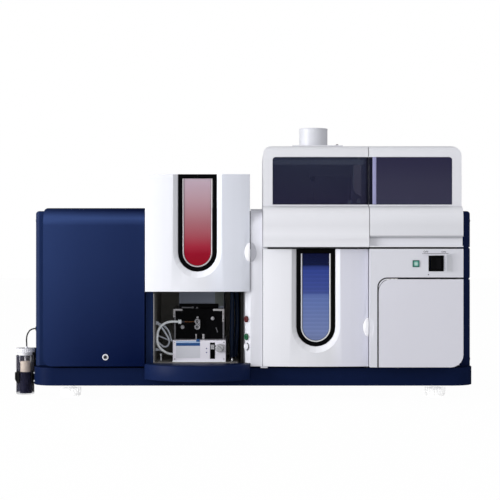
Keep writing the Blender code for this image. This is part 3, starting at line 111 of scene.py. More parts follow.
class Graph:
    """A node tree, with one way of adding any node to it."""

    def __init__(self, tree: bpy.types.NodeTree) -> None:
        """Keeps the tree that nodes are added to."""
        self.tree = tree

    def add(self, kind: str, sockets: Optional[Mapping[Union[int, str], Any]] = None,
            **settings: Any) -> bpy.types.Node:
        """Adds a node.

        Args:
            kind: the node's type.
            sockets: values or links of its inputs, by name or by place.
            settings: properties that are set first; stops holds a ramp's places and colours.

        Returns:
            The new node.
        """
        node = self.tree.nodes.new(kind)
        for name, value in settings.items():
            if name == "stops":
                self._set_stops(node.color_ramp, value)
            else:
                setattr(node, name, value)
        for key, value in (sockets or {}).items():
            self._feed(node.inputs[key], value)
        return node

    def socket(self, kind: str, sockets: Optional[Mapping[Union[int, str], Any]] = None,
               output: Union[int, str] = 0, **settings: Any) -> Socket:
        """Adds a node and gives one of its outputs."""
        return self.add(kind, sockets, **settings).outputs[output]

    def _feed(self, socket: Socket, value: Any) -> None:
        """Links a socket to another, or sets its value.

        Args:
            socket: the input to fill.
            value: a field or a socket to link, a colour without alpha, or a plain value.
        """
        if isinstance(value, Field):
            value = value.socket
        if isinstance(value, Socket):
            self.tree.links.new(value, socket)
        elif isinstance(value, tuple) and len(value) == 3 and socket.type == "RGBA":
            socket.default_value = (*value, 1.0)
        else:
            socket.default_value = value

    @staticmethod
    def _set_stops(ramp: bpy.types.ColorRamp, stops: Sequence[tuple[float, Color]]) -> None:
        """Gives a ramp its stops, in order.

        Args:
            ramp: the ramp to fill.
            stops: pairs of (place, colour).
        """
        while len(ramp.elements) < len(stops):
            ramp.elements.new(1.0)
        for element, (place, color) in zip(ramp.elements, stops):
            element.position = place
            element.color = (*color, 1.0)


class Field:
    """A number that varies over a shape: Python's operators add the Math nodes that work it out."""

    def __init__(self, graph: Graph, socket: Socket) -> None:
        """Wraps a socket of the graph."""
        self.graph = graph
        self.socket = socket

    def _math(self, operation: str, *values: Number) -> Field:
        """Adds a Math node."""
        return Field(self.graph, self.graph.socket("ShaderNodeMath", dict(enumerate(values)),
                                                   operation=operation))

    def __add__(self, other: Number) -> Field:
        """Adds."""
        return self._math("ADD", self, other)

    __radd__ = __add__

    def __sub__(self, other: Number) -> Field:
        """Subtracts."""
        return self._math("SUBTRACT", self, other)

    def __rsub__(self, other: Number) -> Field:
        """Subtracts this from a number."""
        return self._math("SUBTRACT", other, self)

    def __mul__(self, other: Number) -> Field:
        """Multiplies."""
        return self._math("MULTIPLY", self, other)

    __rmul__ = __mul__

    def __gt__(self, other: Number) -> Field:
        """One where this is greater, otherwise zero."""
        return self._math("GREATER_THAN", self, other)

    def wave(self, pitch: float) -> Field:
        """A wave between zero and one that repeats at a pitch."""
        return self._math("SINE", self * (math.tau / pitch)) * 0.5 + 0.5

    def over(self, low: float, high: float) -> Field:
        """Zero at low and below, one at high and above, smooth between.

        Args:
            low: where the result leaves zero.
            high: where it reaches one.

        Returns:
            The eased share.
        """
        eased = self.graph.socket("ShaderNodeMapRange", {0: self, 1: low, 2: high, 3: 0.0, 4: 1.0},
                                  interpolation_type="SMOOTHSTEP")
        return Field(self.graph, eased)


Number = Union[float, Field]


class Surface(Graph):
    """A material's node tree with a Principled shader, read on Object coordinates."""

    def __init__(self, name: str) -> None:
        """Makes an empty material of this name.

        Args:
            name: the material's name.
        """
        self.material = bpy.data.materials.new(name)
        self.material.use_nodes = True
        super().__init__(self.material.node_tree)
        self.tree.nodes.clear()
        self.place = self.socket("ShaderNodeTexCoord", output="Object")

    def axis(self, name: str) -> Field:
        """One coordinate of the place, X, Y or Z, in metres."""
        return Field(self, self.socket("ShaderNodeSeparateXYZ", {0: self.place}, name))

    def stretched(self, scale: Point) -> Socket:
        """The place, scaled along each axis."""
        return self.socket("ShaderNodeMapping", {"Vector": self.place, "Scale": scale})

    def ramp(self, factor: Field, stops: Sequence[tuple[float, Color]]) -> Socket:
        """A colour that follows stops of (share, colour)."""
        return self.socket("ShaderNodeValToRGB", {0: factor}, stops=stops)

    def share(self, axis: str, low: float, high: float) -> Field:
        """How far the place is from low to high along an axis."""
        return (self.axis(axis) - low) * (1.0 / (high - low))

    def shade(self, axis: str, stops: Sequence[Flat]) -> Field:
        """A share between zero and one that follows stops of (place in metres, share) along an axis.

        Args:
            axis: X, Y or Z.
            stops: pairs of (place in metres, share), in order.

        Returns:
            The share at each place.
        """
        low, high = stops[0][0], stops[-1][0]
        held = [((at - low) / (high - low), (share, share, share)) for at, share in stops]
        return Field(self, self.ramp(self.share(axis, low, high), held))

    def kept(self, name: str) -> Field:
        """A number that the mesh keeps for each face."""
        return Field(self, self.socket("ShaderNodeAttribute", output="Fac", attribute_name=name))

    def scaled(self, color: Any, factor: Number) -> Socket:
        """A colour made brighter or darker by a factor."""
        return self.socket("ShaderNodeVectorMath", {0: color, "Scale": factor}, operation="SCALE")

    def noise(self, scale: float, detail: float = 2.0, place: Optional[Socket] = None) -> Field:
        """Noise between zero and one, with so many features for each metre."""
        return Field(self, self.socket("ShaderNodeTexNoise", {"Vector": place or self.place, "Scale": scale,
                                                              "Detail": detail}))

    def mix(self, factor: Number, first: Any, second: Any) -> Socket:
        """A colour between two, by a factor."""
        return self.socket("ShaderNodeMix", {0: factor, 6: first, 7: second}, 2, data_type="RGBA")

    def bump(self, height: Field, distance: float) -> Socket:
        """A normal that follows a height over the surface."""
        return self.socket("ShaderNodeBump", {"Height": height, "Distance": distance, "Strength": 1.0})

    def finish(self, **sockets: Any) -> bpy.types.Material:
        """Adds the Principled shader and the output.

        Args:
            sockets: values or links for the shader's inputs, with _ for a space.

        Returns:
            The finished material.
        """
        named = {key.replace("_", " "): value for key, value in sockets.items()}
        self.add("ShaderNodeOutputMaterial", {0: self.socket("ShaderNodeBsdfPrincipled", named)})
        return self.material


@dataclass(frozen=True)
class Paint:
    """Sprayed paint or moulded plastic with a fine grain and faint clouding.

    The colour moves towards the lit one by the sum of the shades, which are (axis, stops of (place, share)):
    this is painted light and shade. The facing shade is painted shade on faces that look to the right or
    down, and painted light on those that look to the left or up. A glow is painted light from a part that
    is no lamp.
    """

    name: str
    color: Color
    roughness: float = 0.42
    grain: float = 1400.0
    grain_depth: float = 0.00003
    clouding: float = 0.06
    coat: float = 0.0
    shine: float = 0.5
    glow: float = 0.0
    bow: Optional[Point] = None
    lit: Optional[Color] = None
    shades: tuple[tuple[str, tuple[Flat, ...]], ...] = ()
    lean: float = 0.0

    def build(self) -> bpy.types.Material:
        """Makes the material.

        Returns:
            The finished material.
        """
        surface = Surface(self.name)
        cloud, handled = surface.noise(5.0, 3.0), surface.noise(38.0, 4.0)
        fine = surface.noise(self.grain)
        height = fine * self.grain_depth
        if self.bow:
            middle, half, rise = self.bow
            side = (surface.axis("X") - middle) * (1.0 / half)
            height = height - side * side * rise
        lighter = tuple(min(channel * (1 + self.clouding) + 0.002, 1.0) for channel in self.color)
        darker = tuple(channel * (1 - self.clouding) for channel in self.color)
        base = surface.mix(cloud, darker, lighter)
        # Painted highlight and shade: the colour moves towards the lit colour by the sum of the shades.
        if self.lit:
            base = surface.mix(sum((surface.shade(*shade) for shade in self.shades), 0.0), base, self.lit)
        # Painted shade by facing: darker where faces look to the right or down, lighter where they look left
        # or up.
        if self.lean:
            base = surface.scaled(base, 1.0 - surface.kept("lowered") * self.lean)
        return surface.finish(
            Base_Color=base,
            Roughness=self.roughness + 0.1 * (handled - 0.5) + 0.04 * (fine - 0.5),
            Specular_IOR_Level=self.shine,
            Coat_Weight=self.coat,
            Coat_Roughness=0.25,
            # A glow is painted light: the part is no lamp.
            Emission_Color=self.color,
            Emission_Strength=self.glow,
            Normal=surface.bump(height, 1.0),
        )


@dataclass(frozen=True)
class Metal:
    """Bare metal with fine lines along one axis."""

    name: str
    color: Color
    roughness: float = 0.3
    lines: Point = (60.0, 2200.0, 2200.0)
    line_depth: float = 0.00001

    def build(self) -> bpy.types.Material:
        """Makes the material.

        Returns:
            The finished material.
        """
        surface = Surface(self.name)
        line = surface.noise(1.0, 3.0, surface.stretched(self.lines))
        stain = surface.noise(45.0, 4.0)
        duller = tuple(channel * 0.82 for channel in self.color)
        return surface.finish(
            Base_Color=surface.mix(stain * 0.5 + line * 0.4, self.color, duller),
            Metallic=1.0,
            Roughness=self.roughness + 0.16 * (line - 0.5) + 0.1 * (stain - 0.5),
            Normal=surface.bump(line, self.line_depth),
        )


@dataclass(frozen=True)
class Tint:
    """A tinted window pane whose colour changes from its foot to its head, with faint level lines in it."""

    name: str
    stops: tuple[tuple[float, Color], ...]
    low: float
    high: float
    alpha: float = 0.9
    roughness: float = 0.06
    line_pitch: float = 0.01
    line_share: float = 0.0

    def build(self) -> bpy.types.Material:
        """Makes the material.

        Returns:
            The finished material.
        """
        surface = Surface(self.name)
        color = surface.ramp(surface.share("Z", self.low, self.high), self.stops)
        line = surface.axis("Z").wave(self.line_pitch).over(0.72, 0.98)
        return surface.finish(
            Base_Color=surface.mix(line * self.line_share, color, surface.scaled(color, 1.25)),
            Roughness=self.roughness + 0.05 * surface.noise(22.0, 3.0),
            Alpha=self.alpha,
            Coat_Weight=0.25,
            Coat_Roughness=0.04,
        )


@dataclass(frozen=True)
class Rubber:
    """Rubber or matt black plastic with a dusty bloom."""

    name: str
    color: Color
    roughness: float = 0.75

    def build(self) -> bpy.types.Material:
        """Makes the material.

        Returns:
            The finished material.
        """
        surface = Surface(self.name)
        bloom = surface.noise(70.0, 5.0)
        pale = tuple(channel + 0.03 for channel in self.color)
        return surface.finish(
            Base_Color=surface.mix((bloom > 0.55) * 0.35, self.color, pale),
            Roughness=self.roughness + 0.15 * (bloom - 0.5),
            Normal=surface.bump(surface.noise(900.0, 3.0), 0.00005),
        )


@dataclass(frozen=True)
class Clear:
    """Clear or milky plastic, as of a bottle or a tube."""

    name: str
    color: Color
    alpha: float = 0.35
    roughness: float = 0.15

    def build(self) -> bpy.types.Material:
        """Makes the material.

        Returns:
            The finished material.
        """
        surface = Surface(self.name)
        streak = surface.noise(1.0, 3.0, surface.stretched((40.0, 40.0, 12.0)))
        return surface.finish(
            Base_Color=self.color,
            Roughness=self.roughness + 0.1 * streak,
            Alpha=self.alpha + 0.12 * (streak - 0.5),
            Coat_Weight=0.2,
            Coat_Roughness=0.08,
        )


@dataclass(frozen=True)
class Glow:
    """A lit lens with a brighter middle."""

    name: str
    color: Color
    centre: Point
    radius: float
    strength: float = 0.6

    def build(self) -> bpy.types.Material:
        """Makes the material.

        Returns:
            The finished material.
        """
        surface = Surface(self.name)
        gone = surface.socket("ShaderNodeVectorMath", {0: surface.place, 1: self.centre}, "Value",
                              operation="DISTANCE")
        near = 1.0 - Field(surface, gone).over(self.radius * 0.25, self.radius * 1.3)
        pale = tuple(0.5 * channel + 0.4 for channel in self.color)
        glow = surface.mix(near, self.color, pale)
        return surface.finish(Base_Color=glow, Emission_Color=glow, Emission_Strength=self.strength,
                              Roughness=0.22 + 0.05 * surface.noise(60.0))


Finish = Union[Paint, Metal, Tint, Rubber, Clear, Glow]


@lru_cache(maxsize=None)
def material(finish: Finish) -> bpy.types.Material:
    """The one material of a finish, made when it is first asked for."""
    return finish.build()


def shell(name: str, color: Color, roughness: float = 0.4, **more: Any) -> Paint:
    """The white paint of the housing, with hardly any clouding."""
    return Paint(name, color, roughness, clouding=0.012, **more)


NAVY = Paint("navy_paint", (0.008, 0.02, 0.076), 0.38, clouding=0.05, shine=0.06)
# The left cover's lit colour and shades are painted light: a highlight band along its rounded top edge, and
# more light towards its left end.
NAVY_COVER = Paint("navy_cover", (0.0, 0.0042, 0.035), 0.38, clouding=0.04, shine=0.04,
                   lit=(0.03, 0.055, 0.164),
                   shades=(("Z", ((0.09, 0.0), (0.34, 0.28), (0.436, 0.33), (0.4545, 0.96), (0.474, 0.04))),
                           ("X", ((-0.49, 0.275), (-0.4, 0.12), (-0.277, 0.0)))))
NAVY_SHELF = Paint("navy_shelf", (0.0058, 0.014, 0.059), 0.42, clouding=0.08, shine=0.05)
NAVY_BASE = Paint("navy_base", (0.0036, 0.01, 0.045), 0.44, clouding=0.05, shine=0.03)
# The right side's navy is the side panels' paint made darker: painted shade on the side turned from the
# light.
NAVY_SHADED_SIDE = Paint("navy_shaded_side", (0.0042, 0.011, 0.054), 0.42, clouding=0.05, shine=0.06)
SHADOW_NAVY = Paint("painted_shadow_navy", (0.0025, 0.0028, 0.018), 0.35, clouding=0.1)

WHITE = shell("white_shell", (0.725, 0.735, 0.79))
# The furnace cover's lit colour and shades paint highlight bands and shaded bands across its curved lower
# front.
FURNACE_COVER_WHITE = shell("white_furnace_cover", (0.6, 0.605, 0.65), lit=(0.85, 0.855, 0.905),
                            shades=(("Z", ((0.389, 0.83), (0.4, 0.67), (0.414, 0.87), (0.435, 0.65),
                                           (0.476, 0.92), (0.486, 0.6))),))
# The sampler cover's lit colour and shades paint highlight bands, and a narrow dark band that is the painted
# shadow under its step.
SAMPLER_COVER_WHITE = shell("white_sampler_cover", (0.5, 0.505, 0.545), lit=(0.85, 0.858, 0.912),
                            shades=(("Z", ((0.39, 1.0), (0.402, 0.8), (0.405, 0.13), (0.409, 0.13),
                                           (0.4125, 0.77), (0.435, 0.7), (0.476, 0.96), (0.488, 0.81))),))
WARM_WHITE = shell("white_door", (0.8, 0.8, 0.83), 0.38)
# The door whites turn bluer right of their windows, a painted shaded tone, and take painted shade by facing.
FLAME_WHITE = shell("white_flame_door", (0.75, 0.76, 0.815), 0.38, bow=(-0.11105, 0.131, 0.0082), lean=0.42,
                    lit=(0.75, 0.775, 0.86), shades=(("X", ((-0.095, 0.0), (-0.06, 1.0))),))
FURNACE_WHITE = shell("white_furnace_door", (0.735, 0.74, 0.785), bow=(0.18445, 0.1315, 0.006), lean=0.48,
                      lit=(0.76, 0.765, 0.86), shades=(("X", ((0.22, 0.0), (0.255, 1.0))),))
COLUMN_WHITE = shell("white_column", (0.705, 0.71, 0.77), 0.42)
PANEL_WHITE = shell("white_panel", (0.705, 0.71, 0.775), 0.42)
DOOR_WHITE = shell("white_access", (0.7, 0.7, 0.775), 0.42)

BLACK = Paint("black_plastic", (0.0025, 0.0025, 0.0035), 0.36, clouding=0.1, shine=0.12)
DOOR_FRAME = Paint("door_frame_black", (0.0015, 0.0015, 0.002), 0.22, clouding=0.1, shine=0.12)
# The liner's dark colour is lifted towards the lit one by painted light over its walls, and left dark at its
# right front edge as painted shade.
DARK_SHEET = Paint("dark_sheet", (0.01, 0.01, 0.011), 0.5, clouding=0.2, shine=0.2, lit=(0.26, 0.25, 0.235),
                   shades=(("X", ((-0.223, 0.9), (-0.012, 0.9), (-0.009, 0.0), (0.004, 0.0))),))
SHIELD_GREY = Paint("shield_grey", (0.195, 0.22, 0.285), 0.48, clouding=0.1)
SHIELD_PLATE = Paint("shield_plate", (0.105, 0.12, 0.115), 0.5, clouding=0.12)
BOX_GREY = Paint("box_grey", (0.82, 0.8, 0.89), 0.36, clouding=0.02)
# Pale paint for the bright metal fittings: its pale colour is partly the metal's own and partly a painted
# reflection.
PALE_METAL = Paint("pale_metal", (0.46, 0.46, 0.49), 0.28, clouding=0.1, shine=0.9)
GREY = Paint("grey_paint", (0.18, 0.18, 0.2), 0.48)
BRACKET = Paint("bracket_sheet", (0.56, 0.55, 0.57), 0.42, clouding=0.08)
# The feet glow: painted light that keeps them almost white.
FOOT = Paint("foot_plastic", (0.93, 0.93, 0.93), 0.5, clouding=0.01, glow=0.55)
# The white tubes and the inner tubes glow a little: painted light, as they are no lamps.
TUBE = Paint("white_tube", (0.88, 0.92, 0.97), 0.22, 300.0, 0.00005, 0.05, 0.5, glow=0.1)
INNER_TUBE = Paint("inner_tube", (0.62, 0.66, 0.74), 0.25, 300.0, 0.00005, 0.08, 0.5, glow=0.05)
HOSE = Paint("blue_hose", (0.02, 0.038, 0.095), 0.25, 300.0, 0.00005, 0.15, 0.5)
# The float glows a little: painted light.
BEIGE = Paint("beige_float", (0.88, 0.74, 0.62), 0.5, glow=0.12)
RED = Paint("red_button", (0.075, 0.007, 0.01), 0.3, shine=0.3)
RED_RING = Paint("red_ring", (0.16, 0.035, 0.04), 0.3)
GREEN = Paint("green_button", (0.004, 0.075, 0.03), 0.3, shine=0.3)
GREEN_RING = Paint("green_ring", (0.03, 0.16, 0.085), 0.3)
RIM = Paint("silver_rim", (0.56, 0.51, 0.54), 0.25, clouding=0.05, shine=0.8)
PALE_RIM = Paint("pale_rim", (0.72, 0.73, 0.76), 0.25, clouding=0.05, shine=0.8)
# The strip between the panes is white; its lavender colour is painted shade.
LAVENDER = Paint("lavender_strip", (0.33, 0.33, 0.56), 0.35, clouding=0.03)
# The rail and the stay behind the smoked pane glow, painted light that lets them show through the glass; the
# rail's shades paint it lighter from its middle towards the right.
RAIL = Paint("inner_rail", (0.1, 0.12, 0.15), 0.45, glow=0.9, lit=(0.5, 0.54, 0.62),
             shades=(("X", ((0.08, 0.0), (0.14, 0.1), (0.2, 0.75), (0.29, 0.9), (0.306, 0.6))),))
STAY = Paint("inner_stay", (0.17, 0.16, 0.2), 0.45, glow=0.85)
LABEL = Paint("label_sheet", (0.66, 0.67, 0.74), 0.3, clouding=0.02)
LABEL_BLUE = Paint("label_blue", (0.016, 0.085, 0.27), 0.3)
LABEL_PALE = Paint("label_pale", (0.38, 0.52, 0.74), 0.3)
DOT_BLUE = Paint("dot_blue", (0.06, 0.06, 0.22), 0.3)
TEAL = Paint("lamp_bezel", (0.02, 0.13, 0.1), 0.35)
INK = Paint("print_ink", (0.05, 0.05, 0.07), 0.45)
VIAL_CAP = Paint("vial_cap", (0.04, 0.13, 0.42), 0.35)
LIQUID = Paint("drain_liquid", (0.001, 0.001, 0.007), 0.2, 120.0, 0.0001, 0.4, shine=0.1)

STEEL = Metal("brushed_steel", (0.62, 0.62, 0.64), 0.28)
DARK_STEEL = Metal("dark_steel", (0.26, 0.26, 0.28), 0.35)
COPPER = Metal("copper", (0.8, 0.38, 0.18), 0.25)
COIL = Metal("coil_copper", (0.62, 0.27, 0.12), 0.38, (2200.0, 2200.0, 60.0))
BRASS = Metal("brass", (0.76, 0.58, 0.26), 0.24)
GRAPHITE = Metal("graphite", (0.1, 0.1, 0.11), 0.45)

GASKET = Rubber("gasket_rubber", (0.012, 0.012, 0.013))
SLOT_BLACK = Rubber("slot_black", (0.004, 0.004, 0.004))
DRAIN_HOSE = Rubber("drain_hose", (0.012, 0.012, 0.012), 0.5)

MILKY = Clear("milky_plastic", (0.055, 0.055, 0.11), 0.16, 0.1)
SMOKY = Clear("smoky_plastic", (0.13, 0.13, 0.14), 0.8, 0.2)
VIAL = Clear("vial_plastic", (0.8, 0.83, 0.86), 0.45, 0.1)
LID = Clear("lid_plastic", (0.86, 0.86, 0.9), 0.88, 0.25)

# The red glass turns pale pinkish grey towards its head: a painted reflection of the light above.
RED_GLASS = Tint("red_glass", ((0.0, (0.27, 0.002, 0.012)), (0.15, (0.28, 0.004, 0.02)),
                               (0.24, (0.34, 0.022, 0.045)), (0.5, (0.37, 0.138, 0.166)),
                               (0.78, (0.452, 0.292, 0.34)), (1.0, (0.495, 0.385, 0.465))),
                 0.331, 0.553, 0.97)
BLUE_GLASS = Tint("blue_glass", ((0.0, (0.145, 0.18, 0.34)), (0.12, (0.16, 0.21, 0.42)),
                                 (0.52, (0.108, 0.16, 0.4)), (0.56, (0.052, 0.079, 0.285)),
                                 (0.8, (0.032, 0.057, 0.27)), (0.84, (0.026, 0.045, 0.21)),
                                 (0.872, (0.004, 0.009, 0.05)), (1.0, (0.002, 0.004, 0.035))),
                  0.144, 0.366, 0.98, line_share=0.55)
SMOKED = Tint("smoked_pane", ((0.0, (0.02, 0.019, 0.053)), (0.6, (0.0205, 0.0235, 0.055)),
                              (1.0, (0.024, 0.029, 0.062))), 0.488, 0.607, 0.64)
SMOKED_WARM = Tint("smoked_warm", ((0.0, (0.042, 0.041, 0.08)), (0.45, (0.038, 0.037, 0.074)),
                                   (1.0, (0.025, 0.023, 0.06))), 0.488, 0.607, 0.985)
LAMP_GREEN = Glow("lamp_green", (0.1, 0.4, 0.32), (0.4316, -0.2738, 0.3405), 0.0055, 0.12)


def linked(name: str, data: Any) -> Piece:
    """Adds an object to the scene.

    Args:
        name: the object's name.
        data: its mesh, curve, light or camera.

    Returns:
        The new object.
    """
    made = bpy.data.objects.new(name, data)
    bpy.context.scene.collection.objects.link(made)
    return made


def smoothed(mesh: bpy.types.Mesh) -> None:
    """Shades a mesh smooth, with edges past the crease angle left sharp."""
    mesh.shade_smooth()
    mesh.set_sharp_from_angle(angle=CREASE)


def made_of(name: str, shape: Shape, finish: Finish) -> Piece:
    """Turns a shape, which is used up, into an object with a finish.

    Args:
        name: the object's name.
        shape: its shape, in the model's frame.
        finish: what it is made of.

    Returns:
        The object, which rides on no body yet.
    """
    mesh = bpy.data.meshes.new(name)
    shape.to_mesh(mesh)
    shape.free()
    smoothed(mesh)
    mesh.materials.append(material(finish))
    return linked(name, mesh)


def placed(name: str, shape: Shape, finish: Finish, body: str = CHASSIS, node: Optional[str] = None) -> None:
    """Turns a shape into a piece that rides on a body.

    Args:
        name: the piece's name.
        shape: its shape, in the model's frame, which is used up.
        finish: what it is made of.
        body: the body it rides on.
        node: the CAD node that it stands for, if any.
    """
    made = made_of(name, shape, finish)
    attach(made, body)
    if node:
        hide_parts(node)


def settled(made: Piece) -> None:
    """Bakes an object's modifiers into its mesh.

    Args:
        made: the object, which keeps its name.
    """
    mesh = bpy.data.meshes.new_from_object(made.evaluated_get(bpy.context.evaluated_depsgraph_get()))
    old = made.data
    made.modifiers.clear()
    made.data = mesh
    bpy.data.meshes.remove(old)


def carved(made: Piece, cutters: Sequence[Shape]) -> None:
    """Cuts shapes, which are used up, out of an object's mesh.

    Args:
        made: the object to cut.
        cutters: the shapes to cut away.
    """
    tools = []
    for i, shape in enumerate(cutters):
        mesh = bpy.data.meshes.new(f"cutter_{i}")
        shape.to_mesh(mesh)
        shape.free()
        tools.append(linked(f"cutter_{i}", mesh))
        step = made.modifiers.new(f"cutter_{i}", "BOOLEAN")
        step.object = tools[-1]
        step.solver = "EXACT"
    settled(made)
    for tool in tools:
        mesh = tool.data
        bpy.data.objects.remove(tool)
        bpy.data.meshes.remove(mesh)


@dataclass(frozen=True)
class Refined:
    """A CAD node's shape with its edges rounded, standing in for the node."""

    node: str
    finish: Finish
    edge: float = 0.0008
    segments: int = 2
    reshape: Optional[Callable[[Shape], None]] = None
    cuts: Optional[Callable[[], list[Shape]]] = None

    def build(self) -> None:
        """Merges a copy of the node, rounds its edges and puts it in the node's place."""
        source = frame["nodes"][self.node]
        shape = bmesh.new()
        shape.from_mesh(source.data)
        bmesh.ops.remove_doubles(shape, verts=shape.verts, dist=WELD)
        if self.reshape:
            self.reshape(shape)
        bmesh.ops.dissolve_limit(shape, angle_limit=FLAT_ENOUGH, verts=shape.verts, edges=shape.edges,
                                 use_dissolve_boundaries=False)
        made = made_of(f"{self.node}_skin", shape, self.finish)
        if self.cuts:
            carved(made, self.cuts())
        if self.edge:
            rounding = made.modifiers.new("rounding", "BEVEL")
            rounding.width = self.edge
            rounding.segments = self.segments
            rounding.limit_method = "ANGLE"
            rounding.angle_limit = CREASE
            rounding.harden_normals = True
            settled(made)
        # Each face keeps its share of painted shade by facing: more where it looks to the right or down.
        held = made.data.attributes.new("lowered", "FLOAT", "FACE")
        for entry, face in zip(held.data, made.data.polygons):
            entry.value = face.normal.x - 0.8 * face.normal.z
        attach(made, body_of(source)[0])
        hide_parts(self.node)
        log.info("skin over %s: %d faces", self.node, len(made.data.polygons))


class Box:
    """The box round a CAD node: its two corners, and its middle as x, y and z."""

    def __init__(self, node: str) -> None:
        """Reads the box of a node."""
        self.low, self.high = (Vector(end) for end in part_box(node))
        self.x, self.y, self.z = ((low + high) / 2 for low, high in zip(self.low, self.high))


def arc(centre: Flat, radius: float, start_deg: float, end_deg: float, steps: int) -> list[Flat]:
    """Points of an arc in a plane, both ends included."""
    angles = (math.radians(start_deg + (end_deg - start_deg) * i / steps) for i in range(steps + 1))
    return [(centre[0] + radius * math.cos(angle), centre[1] + radius * math.sin(angle)) for angle in angles]


def around(count: int, start: float = 0.0) -> Iterator[Flat]:
    """Cosines and sines of angles spaced evenly round a turn, from a share of the first step.

    Args:
        count: how many angles.
        start: where the first one stands, in steps.

    Yields:
        The cosine and the sine of each angle.
    """
    for i in range(count):
        angle = math.tau * (i + start) / count
        yield math.cos(angle), math.sin(angle)


def rounded_box(low: Flat, high: Flat, radius: float) -> list[Flat]:
    """A rectangle's outline with round corners, counterclockwise.

    Args:
        low: the corner with the smaller coordinates.
        high: the opposite one.
        radius: the radius of all four corners.

    Returns:
        The outline's points.
    """
    points = []
    for a, b, start in ((low[0] + radius, low[1] + radius, 180), (high[0] - radius, low[1] + radius, 270),
                        (high[0] - radius, high[1] - radius, 0), (low[0] + radius, high[1] - radius, 90)):
        points += arc((a, b), radius, start, start + 90, 6)
    return points


class Axis(Enum):
    """The axis that an outline is pushed along."""

    X = "x"
    Y = "y"
    Z = "z"

    def point(self, a: float, b: float, along: float) -> Point:
        """A point of the outline's plane, moved along this axis."""
        return {Axis.X: (along, a, b), Axis.Y: (a, along, b), Axis.Z: (a, b, along)}[self]


def loft(rings: Sequence[Ring], closed: bool = False) -> Shape:
    """A skin over rings of points.

    Args:
        rings: rings with the same count of points each.
        closed: joins the last ring to the first; otherwise a face closes each end.

    Returns:
        The skin as a new shape.
    """
    shape = bmesh.new()
    rows = [[shape.verts.new(point) for point in ring] for ring in rings]
    pairs = list(zip(rows, rows[1:]))
    if closed:
        pairs.append((rows[-1], rows[0]))
    for first, second in pairs:
        for i in range(len(first)):
            j = (i + 1) % len(first)
            shape.faces.new((first[i], first[j], second[j], second[i]))
    if not closed:
        shape.faces.new(rows[0])
        shape.faces.new(rows[-1])
    bmesh.ops.recalc_face_normals(shape, faces=shape.faces)
    return shape


def prism(outline: Sequence[Flat], axis: Axis, start: float, end: float) -> Shape:
    """An outline drawn across an axis and pushed along it."""
    return loft([[axis.point(a, b, along) for a, b in outline] for along in (start, end)])


def block(low: Sequence[float], high: Sequence[float]) -> Shape:
    """A plain block between two opposite corners."""
    outline = [(low[0], low[1]), (high[0], low[1]), (high[0], high[1]), (low[0], high[1])]
    return prism(outline, Axis.Z, low[2], high[2])


def softened(shape: Shape, width: float) -> Shape:
    """Rounds a shape's edges that are sharper than 30 degrees.

    Args:
        shape: the shape, which is changed.
        width: how far each edge is cut back.

    Returns:
        The same shape.
    """
    sharp = [edge for edge in shape.edges
             if len(edge.link_faces) == 2 and edge.calc_face_angle(0.0) > math.radians(30)]
    bmesh.ops.bevel(shape, geom=sharp, offset=width, segments=2, profile=0.5, affect="EDGES",
                    clamp_overlap=True)
    return shape


def slab(low: Sequence[float], high: Sequence[float], width: float) -> Shape:
    """A block with rounded edges."""
    return softened(block(low, high), width)


def turned(profile: Sequence[Flat], centre: Sequence[float], direction: Sequence[float], steps: int = 48,
           closed: bool = False) -> Shape:
    """Turns a profile round an axis.

    Args:
        profile: points of (radius, distance along the axis).
        centre: where the axis starts.
        direction: where the axis points.
        steps: how many sides the shape gets.
        closed: joins the profile's ends, for a ring or a sleeve.

    Returns:
        The new shape.
    """
    turn = Vector(UP).rotation_difference(Vector(direction).normalized()).to_matrix()
    return loft([[turn @ Vector((radius * cos, radius * sin, along)) + Vector(centre)
                  for cos, sin in around(steps)] for radius, along in profile], closed)


def hollow(profile: Sequence[Flat], centre: Sequence[float], direction: Sequence[float], steps: int) -> Shape:
    """A ring or sleeve: a profile whose ends are joined, turned round an axis."""
    return turned(profile, centre, direction, steps, closed=True)


def together(shapes: Iterable[Shape]) -> Shape:
    """Puts several shapes, which are used up, into one.

    Args:
        shapes: the shapes to join.

    Returns:
        One new shape.
    """
    whole = bmesh.new()
    for shape in shapes:
        mesh = bpy.data.meshes.new("part")
        shape.to_mesh(mesh)
        shape.free()
        whole.from_mesh(mesh)
        bpy.data.meshes.remove(mesh)
    return whole


def strip_along(outline: Callable[[float], list[Flat]], profile: Sequence[Flat]) -> Shape:
    """An open strip along an upright outline, with a section of (offset outward, y)."""
    lines = [(outline(offset), y) for offset, y in profile]
    return loft([[Axis.Y.point(*line[i], y) for line, y in lines] for i in range(len(lines[0][0]))])


def ring_plate(outer: Sequence[Flat], inner: Sequence[Flat], start: float, end: float,
               axis: Axis = Axis.Y) -> Shape:
    """A flat plate between an outer and an inner outline, from start to end along an axis."""
    edges = ((outer, start), (outer, end), (inner, end), (inner, start))
    return loft([[axis.point(a, b, along) for a, b in line] for line, along in edges], closed=True)


def half_round(width: float, rise: float, base: float) -> list[Flat]:
    """A half-round section, for a rim that stands on a face at base and rises towards the front.

    Args:
        width: its width.
        rise: its height over the face.
        base: where the face is along Y.

    Returns:
        Points of (offset outward, y).
    """
    steps, sunk = 6, 0.0003
    points = [(width / 2, base + sunk), (-width / 2, base + sunk)]
    for i in range(steps + 1):
        angle = math.pi * (1 - i / steps)
        points.append((width / 2 * math.cos(angle), base - rise * math.sin(angle)))
    return points


def u_outline(middle: float, half: float, z_round: float, top: float) -> list[Flat]:
    """A flat-topped outline with a half-round bottom, from its top left round to its top right."""
    return [(middle - half, top)] + arc((middle, z_round), half, 180, 360, 32) + [(middle + half, top)]


